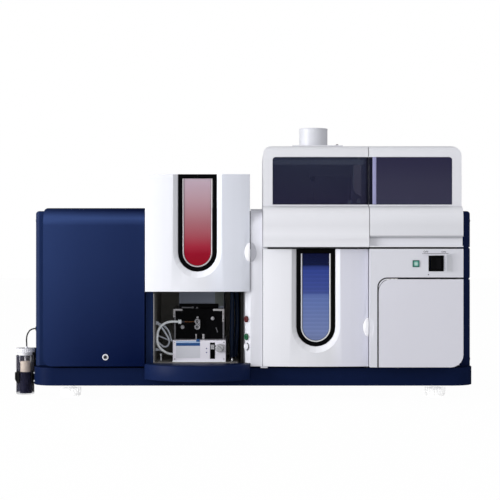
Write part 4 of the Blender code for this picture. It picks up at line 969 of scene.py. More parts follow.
def dome(centre: Point, half_width: float, half_height: float, rise: float) -> Shape:
    """Half of a dome that rises towards the front, flat on its right side.

    Args:
        centre: the middle of its flat back.
        half_width: how far it reaches to the left.
        half_height: how far it reaches up and down.
        rise: its height over the face.

    Returns:
        The new shape.
    """
    x, y, z = centre
    lifts = arc((0, 0), 1, 0, 88, 9)
    return loft([[(x + half_width * wide * cos, y - rise * high, z + half_height * wide * sin)
                  for cos, sin in arc((0, 0), 1, 90, 270, 24)] for wide, high in lifts])


def ellipsoid(centre: Point, radii: Point) -> Shape:
    """A closed ellipsoid.

    Args:
        centre: its middle.
        radii: its radius along each axis.

    Returns:
        The new shape.
    """
    shape = bmesh.new()
    bmesh.ops.create_uvsphere(shape, u_segments=28, v_segments=14, radius=1.0)
    for vert in shape.verts:
        vert.co = Vector(centre) + Vector([vert.co[i] * radii[i] for i in range(3)])
    return shape


def toothed(centre: Flat, radius: float, depth: float, count: int) -> list[Flat]:
    """A round outline with shallow round teeth, as of a knurled knob.

    Args:
        centre: its middle.
        radius: the radius at the tips of the teeth.
        depth: how deep the gaps are.
        count: how many teeth.

    Returns:
        The outline's points.
    """
    points = []
    for i, (cos, sin) in enumerate(around(count * 4)):
        reach = radius - depth * (0.5 + 0.5 * math.cos(count * math.tau * i / (count * 4)))
        points.append((centre[0] + reach * cos, centre[1] + reach * sin))
    return points


class Pattern(Graph):
    """A Geometry Nodes tree that repeats a small shape, with a named input for each size."""

    def __init__(self, name: str) -> None:
        """Starts a tree that takes and gives geometry.

        Args:
            name: the tree's name.
        """
        super().__init__(bpy.data.node_groups.new(name, "GeometryNodeTree"))
        self.name = name
        for way in ("INPUT", "OUTPUT"):
            self.tree.interface.new_socket("Geometry", in_out=way, socket_type="NodeSocketGeometry")
        self.inputs = self.add("NodeGroupInput")
        self.keys: dict[str, str] = {}

    def size(self, name: str, kind: str = "Float") -> Field:
        """Adds a named input.

        Args:
            name: the input's name.
            kind: its type: Float, Int or Vector.

        Returns:
            The input.
        """
        socket = self.tree.interface.new_socket(name, in_out="INPUT", socket_type=f"NodeSocket{kind}")
        self.keys[name] = socket.identifier
        return Field(self, self.inputs.outputs[name])

    @property
    def geometry(self) -> Socket:
        """The geometry that the tree is given."""
        return self.inputs.outputs["Geometry"]

    def line(self, count: Field, **sockets: Any) -> Socket:
        """So many points, each moved on from the last by an offset."""
        return self.socket("GeometryNodeMeshLine", {"Count": count, **sockets}, mode="OFFSET")

    def extruded(self, mesh: Socket, faces: Socket, offset: Number) -> bpy.types.Node:
        """Pushes some faces out."""
        return self.add("GeometryNodeExtrudeMesh", {"Mesh": mesh, "Selection": faces, "Offset Scale": offset},
                        mode="FACES")

    def repeated(self, points: Socket, instance: Socket, **sockets: Any) -> Socket:
        """A shape on each of some points."""
        return self.socket("GeometryNodeInstanceOnPoints",
                           {"Points": points, "Instance": instance, **sockets})

    def realized(self, instances: Socket) -> Socket:
        """Instances turned into plain geometry."""
        return self.socket("GeometryNodeRealizeInstances", {0: instances})

    def outward(self, instance: Socket) -> Socket:
        """A shape on each seed point, facing outward.

        Args:
            instance: the shape, drawn with its head towards Z.

        Returns:
            The instances.
        """
        way = self.socket("GeometryNodeInputNamedAttribute", {"Name": "outward"}, data_type="FLOAT_VECTOR")
        turn = self.socket("FunctionNodeAlignRotationToVector", {"Vector": way}, axis="Z")
        return self.repeated(self.geometry, instance, Rotation=turn)

    def end(self, instances: Socket, finish: Finish) -> Pattern:
        """Realizes the instances, gives them a finish and ends the tree.

        Args:
            instances: what the tree gives.
            finish: what it is made of.

        Returns:
            This tree, ready to be built.
        """
        coated = self.socket("GeometryNodeSetMaterial", {"Geometry": self.realized(instances),
                                                         "Material": material(finish)})
        self.add("NodeGroupOutput", {0: coated})
        return self

    def build(self, name: str, body: str, places: Sequence[Sequence[float]], outward: Point,
              **sizes: Any) -> None:
        """Runs the tree on seed points and keeps the result as a plain mesh.

        Args:
            name: the piece's name.
            body: the body it rides on.
            places: the seed points.
            outward: where the instances face.
            sizes: a value for each named input.
        """
        seeds = bpy.data.meshes.new(name)
        seeds.from_pydata(places, [], [])
        for entry in seeds.attributes.new("outward", "FLOAT_VECTOR", "POINT").data:
            entry.vector = outward
        made = linked(name, seeds)
        step = made.modifiers.new(self.name, "NODES")
        step.node_group = self.tree
        for key, value in sizes.items():
            step[self.keys[key]] = value
        settled(made)
        smoothed(made.data)
        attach(made, body)
        log.info("pattern %s: %d faces", name, len(made.data.polygons))


@lru_cache(maxsize=None)
def screw_pattern(finish: Finish) -> Pattern:
    """Round screw heads with a socket, one on each seed point, facing outward.

    Args:
        finish: what the repeated shapes are made of.

    Returns:
        The tree, ready to be built.
    """
    pattern = Pattern(f"screws_{finish.name}")
    radius = pattern.size("Radius")
    head = pattern.add("GeometryNodeMeshCone", {"Vertices": 12, "Radius Top": radius * 0.8,
                                                "Radius Bottom": radius, "Depth": radius * 0.55})
    rim = pattern.extruded(head.outputs["Mesh"], head.outputs["Top"], 0.0)
    inner = pattern.socket("GeometryNodeScaleElements", {"Geometry": rim.outputs["Mesh"],
                                                         "Selection": rim.outputs["Top"], "Scale": 0.6})
    sunk = pattern.extruded(inner, rim.outputs["Top"], radius * -0.35)
    return pattern.end(pattern.outward(sunk.outputs["Mesh"]), finish)


class Screw(Enum):
    """Screw heads, each with its radius in metres and its finish."""

    FINE = (0.0015, STEEL)
    PRINTED = (0.0015, INK)
    SMALL = (0.0024, STEEL)
    WHITE = (0.0024, TUBE)
    COVER = (0.0026, STEEL)
    DECK = (0.003, STEEL)
    HOUSING = (0.0036, DARK_STEEL)


def screws(name: str, kind: Screw, outward: Point, places: Iterable[Point], body: str = CHASSIS) -> None:
    """Screw heads at some places of one flat face."""
    radius, finish = kind.value
    screw_pattern(finish).build(name, body, list(places), outward, Radius=radius)


@lru_cache(maxsize=None)
def row_pattern(finish: Finish) -> Pattern:
    """A row of flattened round bars, each turned by the same tilt.

    Args:
        finish: what the repeated shapes are made of.

    Returns:
        The tree, ready to be built.
    """
    pattern = Pattern(f"row_{finish.name}")
    count, step = pattern.size("Count", "Int"), pattern.size("Step", "Vector")
    length, radius = pattern.size("Length"), pattern.size("Radius")
    tilt, flat = pattern.size("Tilt", "Vector"), pattern.size("Flatness", "Vector")
    bar = pattern.socket("GeometryNodeMeshCylinder", {"Vertices": 10, "Radius": radius, "Depth": length})
    pressed = pattern.socket("GeometryNodeTransform", {"Geometry": bar, "Scale": flat})
    place = pattern.socket("GeometryNodeInputPosition")
    start = pattern.socket("GeometryNodeSampleIndex",
                           {"Geometry": pattern.geometry, "Value": place, "Index": 0},
                           data_type="FLOAT_VECTOR")
    line = pattern.line(count, **{"Start Location": start, "Offset": step})
    return pattern.end(pattern.repeated(line, pressed, Rotation=tilt), finish)


def bars(name: str, start: Point, step: Point, count: int, length: float, radius: float, finish: Finish,
         tilt: Point = (QUARTER, 0, 0), flatness: Point = (1.0, 1.0, 1.0)) -> None:
    """A row of bars on the chassis.

    Args:
        name: the piece's name.
        start: the middle of the first bar.
        step: from one bar to the next.
        count: how many bars.
        length: each bar's length.
        radius: each bar's radius.
        finish: what they are made of.
        tilt: turns about X, Y and Z, in radians; with none, bars stand along Z.
        flatness: scales of the bar's own X, Y and Z.
    """
    row_pattern(finish).build(name, CHASSIS, [start], UP, Count=count, Step=step, Length=length,
                              Radius=radius, Tilt=tilt, Flatness=flatness)


@lru_cache(maxsize=None)
def ring_pattern(finish: Finish) -> Pattern:
    """Concentric wire rings round the seed point, facing outward.

    Args:
        finish: what the repeated shapes are made of.

    Returns:
        The tree, ready to be built.
    """
    pattern = Pattern(f"rings_{finish.name}")
    count, spacing, wire = pattern.size("Count", "Int"), pattern.size("Spacing"), pattern.size("Wire")
    line = pattern.line(count, Offset=(0.0, 0.0, 0.0))
    size = (Field(pattern, pattern.socket("GeometryNodeInputIndex")) + 1.0) * spacing
    circle = pattern.socket("GeometryNodeCurvePrimitiveCircle", {"Resolution": 40, "Radius": 1.0})
    rings = pattern.realized(pattern.repeated(line, circle, Scale=size))
    section = pattern.socket("GeometryNodeCurvePrimitiveCircle", {"Resolution": 6, "Radius": wire})
    wires = pattern.socket("GeometryNodeCurveToMesh", {"Curve": rings, "Profile Curve": section})
    return pattern.end(pattern.outward(wires), finish)


@lru_cache(maxsize=None)
def crown_pattern(finish: Finish) -> Pattern:
    """Stubs in a circle round the seed point's upright axis, tapered from foot to top.

    Args:
        finish: what the repeated shapes are made of.

    Returns:
        The tree, ready to be built.
    """
    pattern = Pattern(f"crown_{finish.name}")
    count, circle = pattern.size("Count", "Int"), pattern.size("Circle")
    foot, top, height = pattern.size("Foot"), pattern.size("Top"), pattern.size("Height")
    ring = pattern.socket("GeometryNodeMeshCircle", {"Vertices": count, "Radius": circle})
    stub = pattern.socket("GeometryNodeMeshCone", {"Vertices": 12, "Radius Top": top, "Radius Bottom": foot,
                                                   "Depth": height})
    return pattern.end(pattern.outward(pattern.realized(pattern.repeated(ring, stub))), finish)


def crown(name: str, centre: Point, count: int, circle: float, stub: Point, finish: Finish,
          body: str = CHASSIS, outward: Point = UP) -> None:
    """A circle of stubs round an axis through centre.

    Args:
        name: the piece's name.
        centre: the circle's centre.
        count: how many stubs.
        circle: the circle's radius.
        stub: each stub's radius at its foot, its radius at its top, and its height.
        finish: what they are made of.
        body: the body they ride on.
        outward: the axis.
    """
    foot, top, height = stub
    crown_pattern(finish).build(name, body, [centre], outward, Count=count, Circle=circle, Foot=foot, Top=top,
                                Height=height)


def lettered(name: str, words: str, place: Point) -> None:
    """Plain generic lettering on a face that looks at the operator.

    Args:
        name: the piece's name.
        words: what it says, such as ON or OFF.
        place: the foot of its middle.
    """
    curve = bpy.data.curves.new(name, "FONT")
    curve.body = words
    curve.size = 0.007
    curve.extrude = 0.0001
    curve.align_x = "CENTER"
    curve.resolution_u = 2
    text = linked(name, curve)
    mesh = bpy.data.meshes.new_from_object(text.evaluated_get(bpy.context.evaluated_depsgraph_get()))
    bpy.data.objects.remove(text)
    shape = bmesh.new()
    shape.from_mesh(mesh)
    bpy.data.meshes.remove(mesh)
    shape.transform(Matrix.Translation(place) @ Matrix.Rotation(QUARTER, 4, "X"))
    placed(name, shape, INK)


@dataclass
class Tube:
    """A round tube along a smooth curve through the route's points, held at both ends by the instrument."""

    name: str
    node: Optional[str]
    route: Sequence[Point]
    radius: float
    finish: Finish
    stiffness: str = "medium"
    between: int = 3

    def smooth_route(self) -> list[Vector]:
        """The route's points with more between them, on a curve that passes through each.

        Returns:
            The points, from the first to the last of the route.
        """
        route = [Vector(point) for point in self.route]
        points = []
        for i in range(len(route) - 1):
            before, after = route[max(i - 1, 0)], route[min(i + 2, len(route) - 1)]
            start, end = route[i], route[i + 1]
            for step in range(self.between):
                t = step / self.between
                points.append(0.5 * (2 * start + (end - before) * t
                                     + (2 * before - 5 * start + 4 * end - after) * t ** 2
                                     + (3 * start - before - 3 * end + after) * t ** 3))
        return points + [route[-1]]

    def build(self) -> None:
        points = self.smooth_route()
        curve = bpy.data.curves.new(self.name, "CURVE")
        curve.dimensions = "3D"
        curve.bevel_depth = self.radius
        curve.bevel_resolution = 5
        curve.use_fill_caps = True
        spline = curve.splines.new("POLY")
        spline.points.add(len(points) - 1)
        for held, point in zip(spline.points, points):
            held.co = (*point, 1.0)
        spline.use_smooth = True
        curve.materials.append(material(self.finish))
        made = linked(self.name, curve)
        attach(made, CHASSIS)
        if self.node:
            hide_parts(self.node)
        length = sum((second - first).length for first, second in zip(points, points[1:]))
        2 * self.radius
        log.info("tube %s: %.3f m", self.name, length)


@dataclass
class Studio:
    """Camera, floor, soft lights and a white surround.

    Each lamp is (name, place, size, power, whether it is mirrored in the pieces).
    """

    distance: float = 3.5
    lens: float = 100.8
    camera_x: float = 0.02015
    camera_z: float = 0.3745
    front_y: float = -0.242
    floor_size: float = 30.0
    aim: Point = (0, 0, 0.35)
    lamps: tuple[tuple[str, Point, float, float, bool], ...] = (
        ("key", (-2.7, -1.5, 0.7), 1.5, 78.0, True),
        ("fill", (2.6, -2.4, 1.2), 1.6, 5.0, True),
        ("top", (0.0, -0.6, 3.0), 2.0, 5.0, True),
        ("front", (0.0, -4.4, 0.7), 2.4, 16.0, False),
    )

    def build(self) -> None:
        """Sets up the view, the light and the ground."""
        self.place_camera()
        self.lay_floor()
        self.light()
        self.surround()
        bpy.context.scene.view_settings.view_transform = "Standard"

    def place_camera(self) -> None:
        """A level camera straight in front, at the photograph's angle."""
        camera = bpy.data.cameras.new("camera")
        camera.lens = self.lens
        camera.clip_end = 100
        held = linked("camera", camera)
        held.location = (self.camera_x, self.front_y - self.distance, self.camera_z)
        held.rotation_euler = (QUARTER, 0, 0)
        bpy.context.scene.camera = held

    def lay_floor(self) -> None:
        """A pale floor that keeps the instrument's shadow."""
        half = self.floor_size / 2
        mesh = bpy.data.meshes.new("floor")
        mesh.from_pydata([(-half, -half, 0), (half, -half, 0), (half, half, 0), (-half, half, 0)], [],
                         [(0, 1, 2, 3)])
        graph = Surface("pale_floor")
        rays = graph.add("ShaderNodeLightPath").outputs
        seen, glossy = Field(graph, rays["Is Camera Ray"]), Field(graph, rays["Is Glossy Ray"])
        ground = graph.socket("ShaderNodeBsdfDiffuse", {"Color": graph.mix(glossy, (0.9, 0.9, 0.9),
                                                                           (0.08, 0.08, 0.08))})
        white = graph.socket("ShaderNodeEmission", {"Color": (1.0, 1.0, 1.0)})
        both = graph.socket("ShaderNodeMixShader", {0: seen * 0.985, 1: ground, 2: white})
        graph.add("ShaderNodeOutputMaterial", {0: both})
        mesh.materials.append(graph.material)
        linked("floor", mesh)

    def light(self) -> None:
        """Four soft lamps: from the left, the right, above and, without a mirror image, the front."""
        for name, place, size, power, mirrored in self.lamps:
            lamp = bpy.data.lights.new(name, "AREA")
            lamp.shape = "SQUARE"
            lamp.size = size
            lamp.energy = power
            held = linked(name, lamp)
            held.visible_glossy = mirrored
            held.location = place
            held.rotation_euler = (Vector(self.aim) - Vector(place)).to_track_quat("-Z", "Y").to_euler()

    def surround(self) -> None:
        """A plain world that looks white and lights softly."""
        world = bpy.data.worlds.new("surround")
        world.use_nodes = True
        world.cycles.sampling_method = "NONE"
        bpy.context.scene.world = world
        graph = Graph(world.node_tree)
        graph.tree.nodes.clear()
        rays = graph.add("ShaderNodeLightPath").outputs
        seen = Field(graph, rays["Is Camera Ray"]) + Field(graph, rays["Is Transmission Ray"])
        strength = 0.5 - 0.42 * Field(graph, rays["Is Glossy Ray"])
        soft, white = (graph.socket("ShaderNodeBackground", {0: (1.0, 1.0, 1.0), 1: share})
                       for share in (strength, 1.0))
        both = graph.socket("ShaderNodeMixShader", {0: seen, 1: soft, 2: white})
        graph.add("ShaderNodeOutputWorld", {0: both})


class Group:
    """Pieces of one part of the instrument: the skins over its nodes, and what is added to them."""

    skins: Sequence[Refined] = ()

    def build(self) -> None:
        """Makes the skins, then the added pieces."""
        for skin in self.skins:
            skin.build()
        self.dress()
        log.info("built %s", type(self).__name__)

    def dress(self) -> None:
        """Adds the pieces that have no node of their own."""
        raise NotImplementedError


def sunk_grip(shape: Shape) -> None:
    """Sinks a door's flat grip into its face, where a dome takes its place.

    Args:
        shape: the door's shape, which is changed.
    """
    front = min(vert.co.y for vert in shape.verts)
    for vert in shape.verts:
        if vert.co.y < front + 1e-5:
            vert.co.y += 0.0105


@dataclass
class DoorTrim:
    """The bright rim round a door's glass, the gasket behind the rim, and the grip's dome."""

    door: str
    body: str
    finish: Paint
    rim_width: float = 0.0034
    play: float = 0.0002
    grip_y: float = -0.2446
    grip_rise: float = 0.0985
    grip: Point = (0.0141, 0.024, 0.0104)

    def build(self) -> None:
        """Makes the rim, the gasket and the dome."""
        door, glass = Box(self.door), Box(f"{self.door}_glass")
        half = (glass.high.x - glass.low.x) / 2
        inset = self.rim_width / 2 + self.play

        def outline(offset: float) -> list[Flat]:
            """The glass's outline, grown by an offset."""
            return u_outline(glass.x, half + offset, glass.low.z + half, glass.high.z - self.play)

        base = glass.low.y
        rim = strip_along(lambda offset: outline(offset - inset), half_round(self.rim_width, 0.0015, base))
        placed(f"{self.door}_rim", rim, self.finish, self.body)
        gasket = strip_along(lambda offset: outline(offset - 2 * inset), half_round(0.0012, 0.0006, base))
        placed(f"{self.door}_gasket", gasket, GASKET, self.body)
        grip = dome((door.high.x, self.grip_y, door.low.z + self.grip_rise), *self.grip)
        placed(f"{self.door}_grip", grip, WARM_WHITE, self.body)


@dataclass
class FlameDoor(Group):
    """The raised flame door with its window."""

    skins: Sequence[Refined] = (
        Refined("flame_door", FLAME_WHITE, 0.0012, reshape=sunk_grip),
        Refined("flame_door_frame", DOOR_FRAME),
        Refined("flame_door_glass", RED_GLASS, 0.0004),
    )

    def dress(self) -> None:
        """Adds the window's trim and a row of screws behind the left edge."""
        DoorTrim("flame_door", FLAME_DOOR, RIM).build()
        door = Box("flame_door")
        screws("flame_door_screws", Screw.SMALL, FRONT,
               [(door.low.x + 0.0094, door.high.y - 0.015, door.low.z + rise) for rise in (0.02, 0.05, 0.08)],
               FLAME_DOOR)


@dataclass
class FurnaceDoor(Group):
    """The furnace door with its window."""

    skins: Sequence[Refined] = (
        Refined("furnace_door", FURNACE_WHITE, 0.0012, reshape=sunk_grip),
        Refined("furnace_door_frame", DOOR_FRAME),
        Refined("furnace_door_glass", BLUE_GLASS, 0.0004),
    )

    def dress(self) -> None:
        """Adds the window's trim and the hinge screws behind the left edge."""
        DoorTrim("furnace_door", FURNACE_DOOR, PALE_RIM).build()
        door = Box("furnace_door")
        screws("furnace_door_screws", Screw.SMALL, BACK,
               [(door.low.x + 0.018, door.high.y, door.low.z + rise) for rise in (0.02, 0.045, 0.25, 0.275)],
               FURNACE_DOOR)


def cover_lip() -> list[Shape]:
    """A shallow wedge off the furnace cover's foot, so that it turns in towards the door.

    Returns:
        The shapes to cut away.
    """
    left, right, front, head = 0.0509, 0.318, -0.272, 0.381
    return [loft([[(x, front - 0.002, rise + 0.0166), (x, front, rise), (x, front + 0.0026, head),
                   (x, front - 0.002, head)] for x, rise in ((left, 0.3925), (right, 0.406))])]


@dataclass
class Covers(Group):
    """The two hinged covers with smoked windows, the chimney, and what shows behind the glass."""

    rail_low: float = 0.588
    rail_high: float = 0.6005
    strip_left: float = 0.3264
    strip_right: float = 0.3358

    skins: Sequence[Refined] = (
        Refined("furnace_cover", FURNACE_COVER_WHITE, 0.0014, cuts=cover_lip),
        Refined("sampler_cover", SAMPLER_COVER_WHITE, 0.0014),
        Refined("furnace_window", SMOKED, 0.0004),
        Refined("sampler_window", SMOKED_WARM, 0.0004),
        Refined("exhaust_chimney", WHITE),
    )

    def dress(self) -> None:
        """Adds the panes' edges and strip, the rail and stay behind the left pane, and the fittings.

        The dark edges are painted shadow, the white strip's lavender tone is painted shade, and the rail
        and stay glow with painted light.
        """
        left, right = Box("furnace_window"), Box("sampler_window")
        front, behind = left.low.y, left.high.y + 0.0012
        # Dark navy strips along the panes' inner edges: painted shadow.
        for name, body, start, end, pane in (
                ("furnace_pane_edge", FURNACE_COVER, 0.3095, left.high.x - 0.0002, left),
                ("sampler_pane_edge", SAMPLER_COVER, right.low.x + 0.0002, self.strip_left - 0.0001, right)):
            edge = slab((start, front - 0.0004, pane.low.z + 0.0002),
                        (end, front + 0.0006, pane.high.z - 0.0002), 0.0002)
            placed(name, edge, SHADOW_NAVY, body)
        # The strip between the panes is white, shown in its painted shaded tone.
        trim = slab((self.strip_left, front - 0.0006, right.low.z + 0.0002),
                    (self.strip_right, front + 0.0006, right.high.z - 0.0002), 0.0003)
        placed("sampler_pane_strip", trim, LAVENDER, SAMPLER_COVER)
        rail = prism([(behind, self.rail_low), (behind + 0.0068, self.rail_low + 0.002),
                      (behind + 0.0068, self.rail_high), (behind, self.rail_high)], Axis.X,
                     left.low.x + 0.002, left.high.x - 0.01)
        placed("furnace_cover_rail", softened(rail, 0.0006), RAIL, FURNACE_COVER)
        self.add_stays(behind)
        self.trim_chimney()

    def add_stays(self, y: float) -> None:
        """The upright stay at the right of the left pane, its foot and the small cup beside it.

        Args:
            y: where they start, just behind the pane.
        """
        stay = prism([(0.279, 0.587), (0.279, 0.53), (0.2835, 0.518), (0.299, 0.508), (0.299, 0.587)], Axis.Y,
                     y, y + 0.004)
        placed("furnace_cover_stay", softened(stay, 0.0005), STAY, FURNACE_COVER)
        edge = slab((0.2784, y - 0.0004, 0.529), (0.2802, y + 0.002, 0.584), 0.0003)
        placed("stay_edge", edge, RAIL, FURNACE_COVER)
        cup = [(0.003, 0), (0.0044, 0.0012), (0.005, 0.009), (0.0044, 0.0096), (0.0036, 0.0086),
               (0.0026, 0.002)]
        cups = [hollow(cup, (x, y + 0.005, z), UP, 24) for x, z in ((0.27, 0.49), (0.293, 0.492))]
        placed("stay_cups", together(cups), RAIL, FURNACE_COVER)

    def trim_chimney(self) -> None:
        """The chimney's rolled rim and flange screws, the latch on its plate and the screws behind."""
        pipe = Box("exhaust_chimney")
        lip = [(0.0364 + 0.0016 * cos, 0.0016 * sin) for cos, sin in around(10)]
        rolled = hollow(lip, (pipe.x, pipe.y, pipe.high.z - 0.0012), UP, 64)
        placed("chimney_lip", rolled, WHITE, FURNACE_COVER)
        flange = 0.0426
        screws("chimney_screws", Screw.COVER, UP,
               [(pipe.x + flange * cos, pipe.y + flange * sin, pipe.low.z + 0.0034)
                for cos, sin in around(6, 0.5)], FURNACE_COVER)
        latch = turned([(0.0036, 0), (0.0036, 0.0016), (0.0028, 0.003), (0.001, 0.0034)],
                       (0.2392, -0.22, Box("furnace_cover").high.z - 0.0004), UP, 20)
        placed("plate_latch", latch, GREY, FURNACE_COVER)
        for name, body, sides in (("furnace_cover_screws", FURNACE_COVER, (0.07, 0.13)),
                                  ("sampler_cover_screws", SAMPLER_COVER, (0.43, 0.535))):
            screws(name, Screw.COVER, BACK, product(sides, (0.0881,), (0.5, 0.6)), body)


def column_scoops() -> list[Shape]:
    """The finger hollow in the column, beside the flame door's grip."""
    return [ellipsoid((0.0207, -0.2425, 0.3688), (0.015, 0.006, 0.0245))]


@dataclass
class Column(Group):
    """The white column with the slanted strip of push buttons."""

    strip: Point = (0.0127, -0.2283, 0.0835)
    out: Point = (-0.7425, -0.6698, 0.0)
    white_height: float = 0.049

    skins: Sequence[Refined] = (
        Refined("center_column", COLUMN_WHITE, 0.0012, cuts=column_scoops),
        Refined("red_button", RED, 0.0012, 3),
        Refined("green_button", GREEN, 0.0012, 3),
        Refined("white_button", COLUMN_WHITE, 0.0012, 3),
    )

    def on_strip(self, height: float, out: float, along: float = 0.0) -> Point:
        """A point over the strip's middle line, moved out from it and along its width."""
        return (self.strip[0] + self.out[0] * out - self.out[1] * along,
                self.strip[1] + self.out[1] * out + self.out[0] * along, self.strip[2] + height)

    def dress(self) -> None:
        """Adds each button's collar and the coloured buttons' rings.

        A dark crescent beside the white button is painted shadow.
        """
        section = [(0.0048 + 0.0005 * cos, 0.0003 * sin) for cos, sin in around(8)]
        collar = [(0.0088, -0.0005), (0.0104, -0.0005), (0.0104, 0.0003), (0.0096, 0.0007), (0.0088, 0.0003)]
        for name, height, finish in (("red_button", 0.1175, RED_RING), ("green_button", 0.073, GREEN_RING),
                                     ("white_button", self.white_height, None)):
            if finish:
                ring = hollow(section, self.on_strip(height, 0.0046), self.out, 32)
                placed(f"{name}_ring", ring, finish, f"{name}_body")
            placed(f"{name}_collar", hollow(collar, self.on_strip(height, 0.0015), self.out, 40), WHITE)
        # A black crescent to the right of the white button: painted shadow round its edge.
        moon = arc((0, 0), 0.0098, -80, 80, 20) + arc((-0.0026, 0), 0.01, 76, -76, 20)
        crescent = loft([[self.on_strip(self.white_height + b, out, a) for a, b in moon]
                         for out in (0.0016, 0.0027)])
        placed("white_button_painted_shadow", crescent, SLOT_BLACK)


@dataclass
class FlameBay(Group):
    """The flame bay: liner, magnet, shield, gas control box and nebulizer, with their fittings."""

    neb_x: float = -0.11465
    face_y: float = -0.1473
    barrel_z: float = 0.1908
    barrel_y: float = -0.1553
    floor_z: float = 0.0911

    skins: Sequence[Refined] = (
        Refined("bay_fascia", NAVY, 0.001),
        Refined("bay_liner", DARK_SHEET, 0.0005),
        Refined("front_shelf", NAVY_SHELF, 0.0),
        Refined("burner_box", BOX_GREY, 0.001),
        Refined("burner_magnet", BLACK, 0.0012),
        Refined("burner_shield", SHIELD_GREY, 0.0006),
        Refined("burner_head", STEEL),
    )

    def dress(self) -> None:
        """Adds what is mounted in the bay."""
        self.add_nebulizer()
        self.add_barrel()
        self.add_brackets()
        self.add_pipes()
        self.add_labels()
        self.add_lever()
        self.add_knob()
        self.add_fittings()

    def add_nebulizer(self) -> None:
        """Two bright rings with dark wells on the magnet."""
        x, y = self.neb_x, self.face_y
        ring = [(0.0034, 0), (0.0034, 0.0105), (0.0044, 0.0134), (0.0058, 0.0142), (0.007, 0.0128),
                (0.0073, 0.01), (0.0073, 0)]
        hub = [(0.0024, 0), (0.0024, 0.006), (0.0018, 0.0072), (0.0004, 0.0075)]
        shapes, wells = [], []
        for z, scale in ((0.1916, 0.96), (0.1775, 1.0)):
            shapes.append(hollow([(radius * scale, along) for radius, along in ring], (x, y, z), FRONT, 40))
            shapes.append(turned(hub, (x, y, z), FRONT, 6))
            wells.append(turned([(0.0036, 0), (0.0036, 0.001)], (x, y - 0.0002, z), FRONT, 24))
        shapes.append(slab((x + 0.004, y - 0.011, 0.176), (x + 0.0072, y, 0.196), 0.001))
        stem = [(0.003, 0), (0.003, 0.007), (0.0018, 0.009)]
        shapes.append(turned(stem, (x + 0.0005, y, 0.2018), FRONT, 20))
        placed("nebulizer_rings", together(shapes), PALE_METAL, node="nebulizer")
        placed("nebulizer_wells", together(wells), SLOT_BLACK)

    def add_barrel(self) -> None:
        """The barrel's copper tip, its nut and the white connector of the sample tube."""
        tip = [(0.0011, 0), (0.0011, 0.017), (0.002, 0.018), (0.002, 0.025)]
        nut = [(0.002, 0), (0.0034, 0.0008), (0.0034, 0.004), (0.0026, 0.0048), (0.0026, 0.0085)]
        collar = [(0.0034, 0), (0.0058, 0.001), (0.0058, 0.0034), (0.005, 0.004), (0.005, 0.0055),
                  (0.0058, 0.0061), (0.0058, 0.0079), (0.0036, 0.0088)]
        for name, profile, x, steps, finish in (("nebulizer_tip", tip, self.neb_x - 0.0072, 20, COPPER),
                                                ("nebulizer_nut", nut, -0.1468, 8, DARK_STEEL),
                                                ("tube_connector", collar, -0.1552, 28, TUBE)):
            placed(name, turned(profile, (x, self.barrel_y, self.barrel_z), LEFT, steps), finish)

    def add_brackets(self) -> None:
        """Sheet brackets in front of the magnet, its bolts and the posts under it."""
        y = self.face_y
        left = [(-0.177, 0.202), (-0.1716, 0.202), (-0.1716, 0.2184), (-0.1533, 0.2184), (-0.1533, 0.2234),
                (-0.177, 0.2234)]
        right = [(-0.051, 0.19), (-0.046, 0.19), (-0.046, 0.2234), (-0.0749, 0.2234), (-0.0749, 0.2184),
                 (-0.051, 0.2184)]
        for name, outline in (("left_bracket", left), ("right_bracket", right)):
            placed(name, softened(prism(outline, Axis.Y, y - 0.0016, y), 0.0004), BRACKET)
        feet = [block((start, y - 0.0012, 0.1462), (end, y, head))
                for start, end, head in ((-0.175, -0.1704, 0.2018), (-0.05, -0.046, 0.1898))]
        placed("bracket_feet", together(feet), GREY)
        bolt = [(0.005, 0), (0.005, 0.004), (0.0042, 0.0056), (0.0024, 0.0068), (0.0006, 0.0071)]
        for name, x, z in (("magnet_bolt", -0.0754, 0.1991), ("magnet_plug", -0.1532, 0.1768)):
            placed(name, turned(bolt, (x, y, z), FRONT, 28), PALE_METAL)
        post = [(1, 0), (1, 0.006), (0.8, 0.0066), (0.8, 0.0085), (1, 0.0092), (1, 0.0126), (0.85, 0.0134)]
        for i, (x, radius) in enumerate(((-0.1178, 0.0016), (-0.099, 0.0031))):
            profile = [(radius * share, along) for share, along in post]
            placed(f"magnet_post_{i}", turned(profile, (x, -0.156, 0.1459), UP, 24), BRACKET)
        screws("bracket_screws", Screw.FINE, FRONT,
               [(x, y - 0.0016, z) for x, z in ((-0.0486, 0.196), (-0.0486, 0.21), (-0.1743, 0.208))])

    def add_pipes(self) -> None:
        """The block and the pipe over the magnet, the plate beside the shield and the magnet's stay."""
        neck = slab((-0.162, -0.1402, 0.2241), (-0.061, -0.1374, 0.2365), 0.001)
        placed("burner_neck", neck, BLACK)
        pipe = turned([(0.0016, 0), (0.0016, 0.025), (0.0026, 0.0256), (0.0026, 0.03), (0.0014, 0.031)],
                      (-0.155, -0.144, 0.2268), RIGHT, 20)
        cap = turned([(0.003, 0), (0.003, 0.004), (0.0018, 0.0052)], (-0.116, -0.14, 0.2256), FRONT, 6)
        placed("magnet_pipe", together([pipe, cap]), GREY)
        plate = slab((-0.07, -0.1384, 0.2305), (-0.0475, -0.1372, 0.2935), 0.0005)
        placed("shield_plate", plate, SHIELD_PLATE)
        stay = prism([(-0.068, 0.176), (-0.0662, 0.176), (-0.0618, 0.164), (-0.064, 0.1628)], Axis.Y,
                     self.face_y - 0.003, self.face_y)
        placed("magnet_stay", softened(stay, 0.0004), GREY)

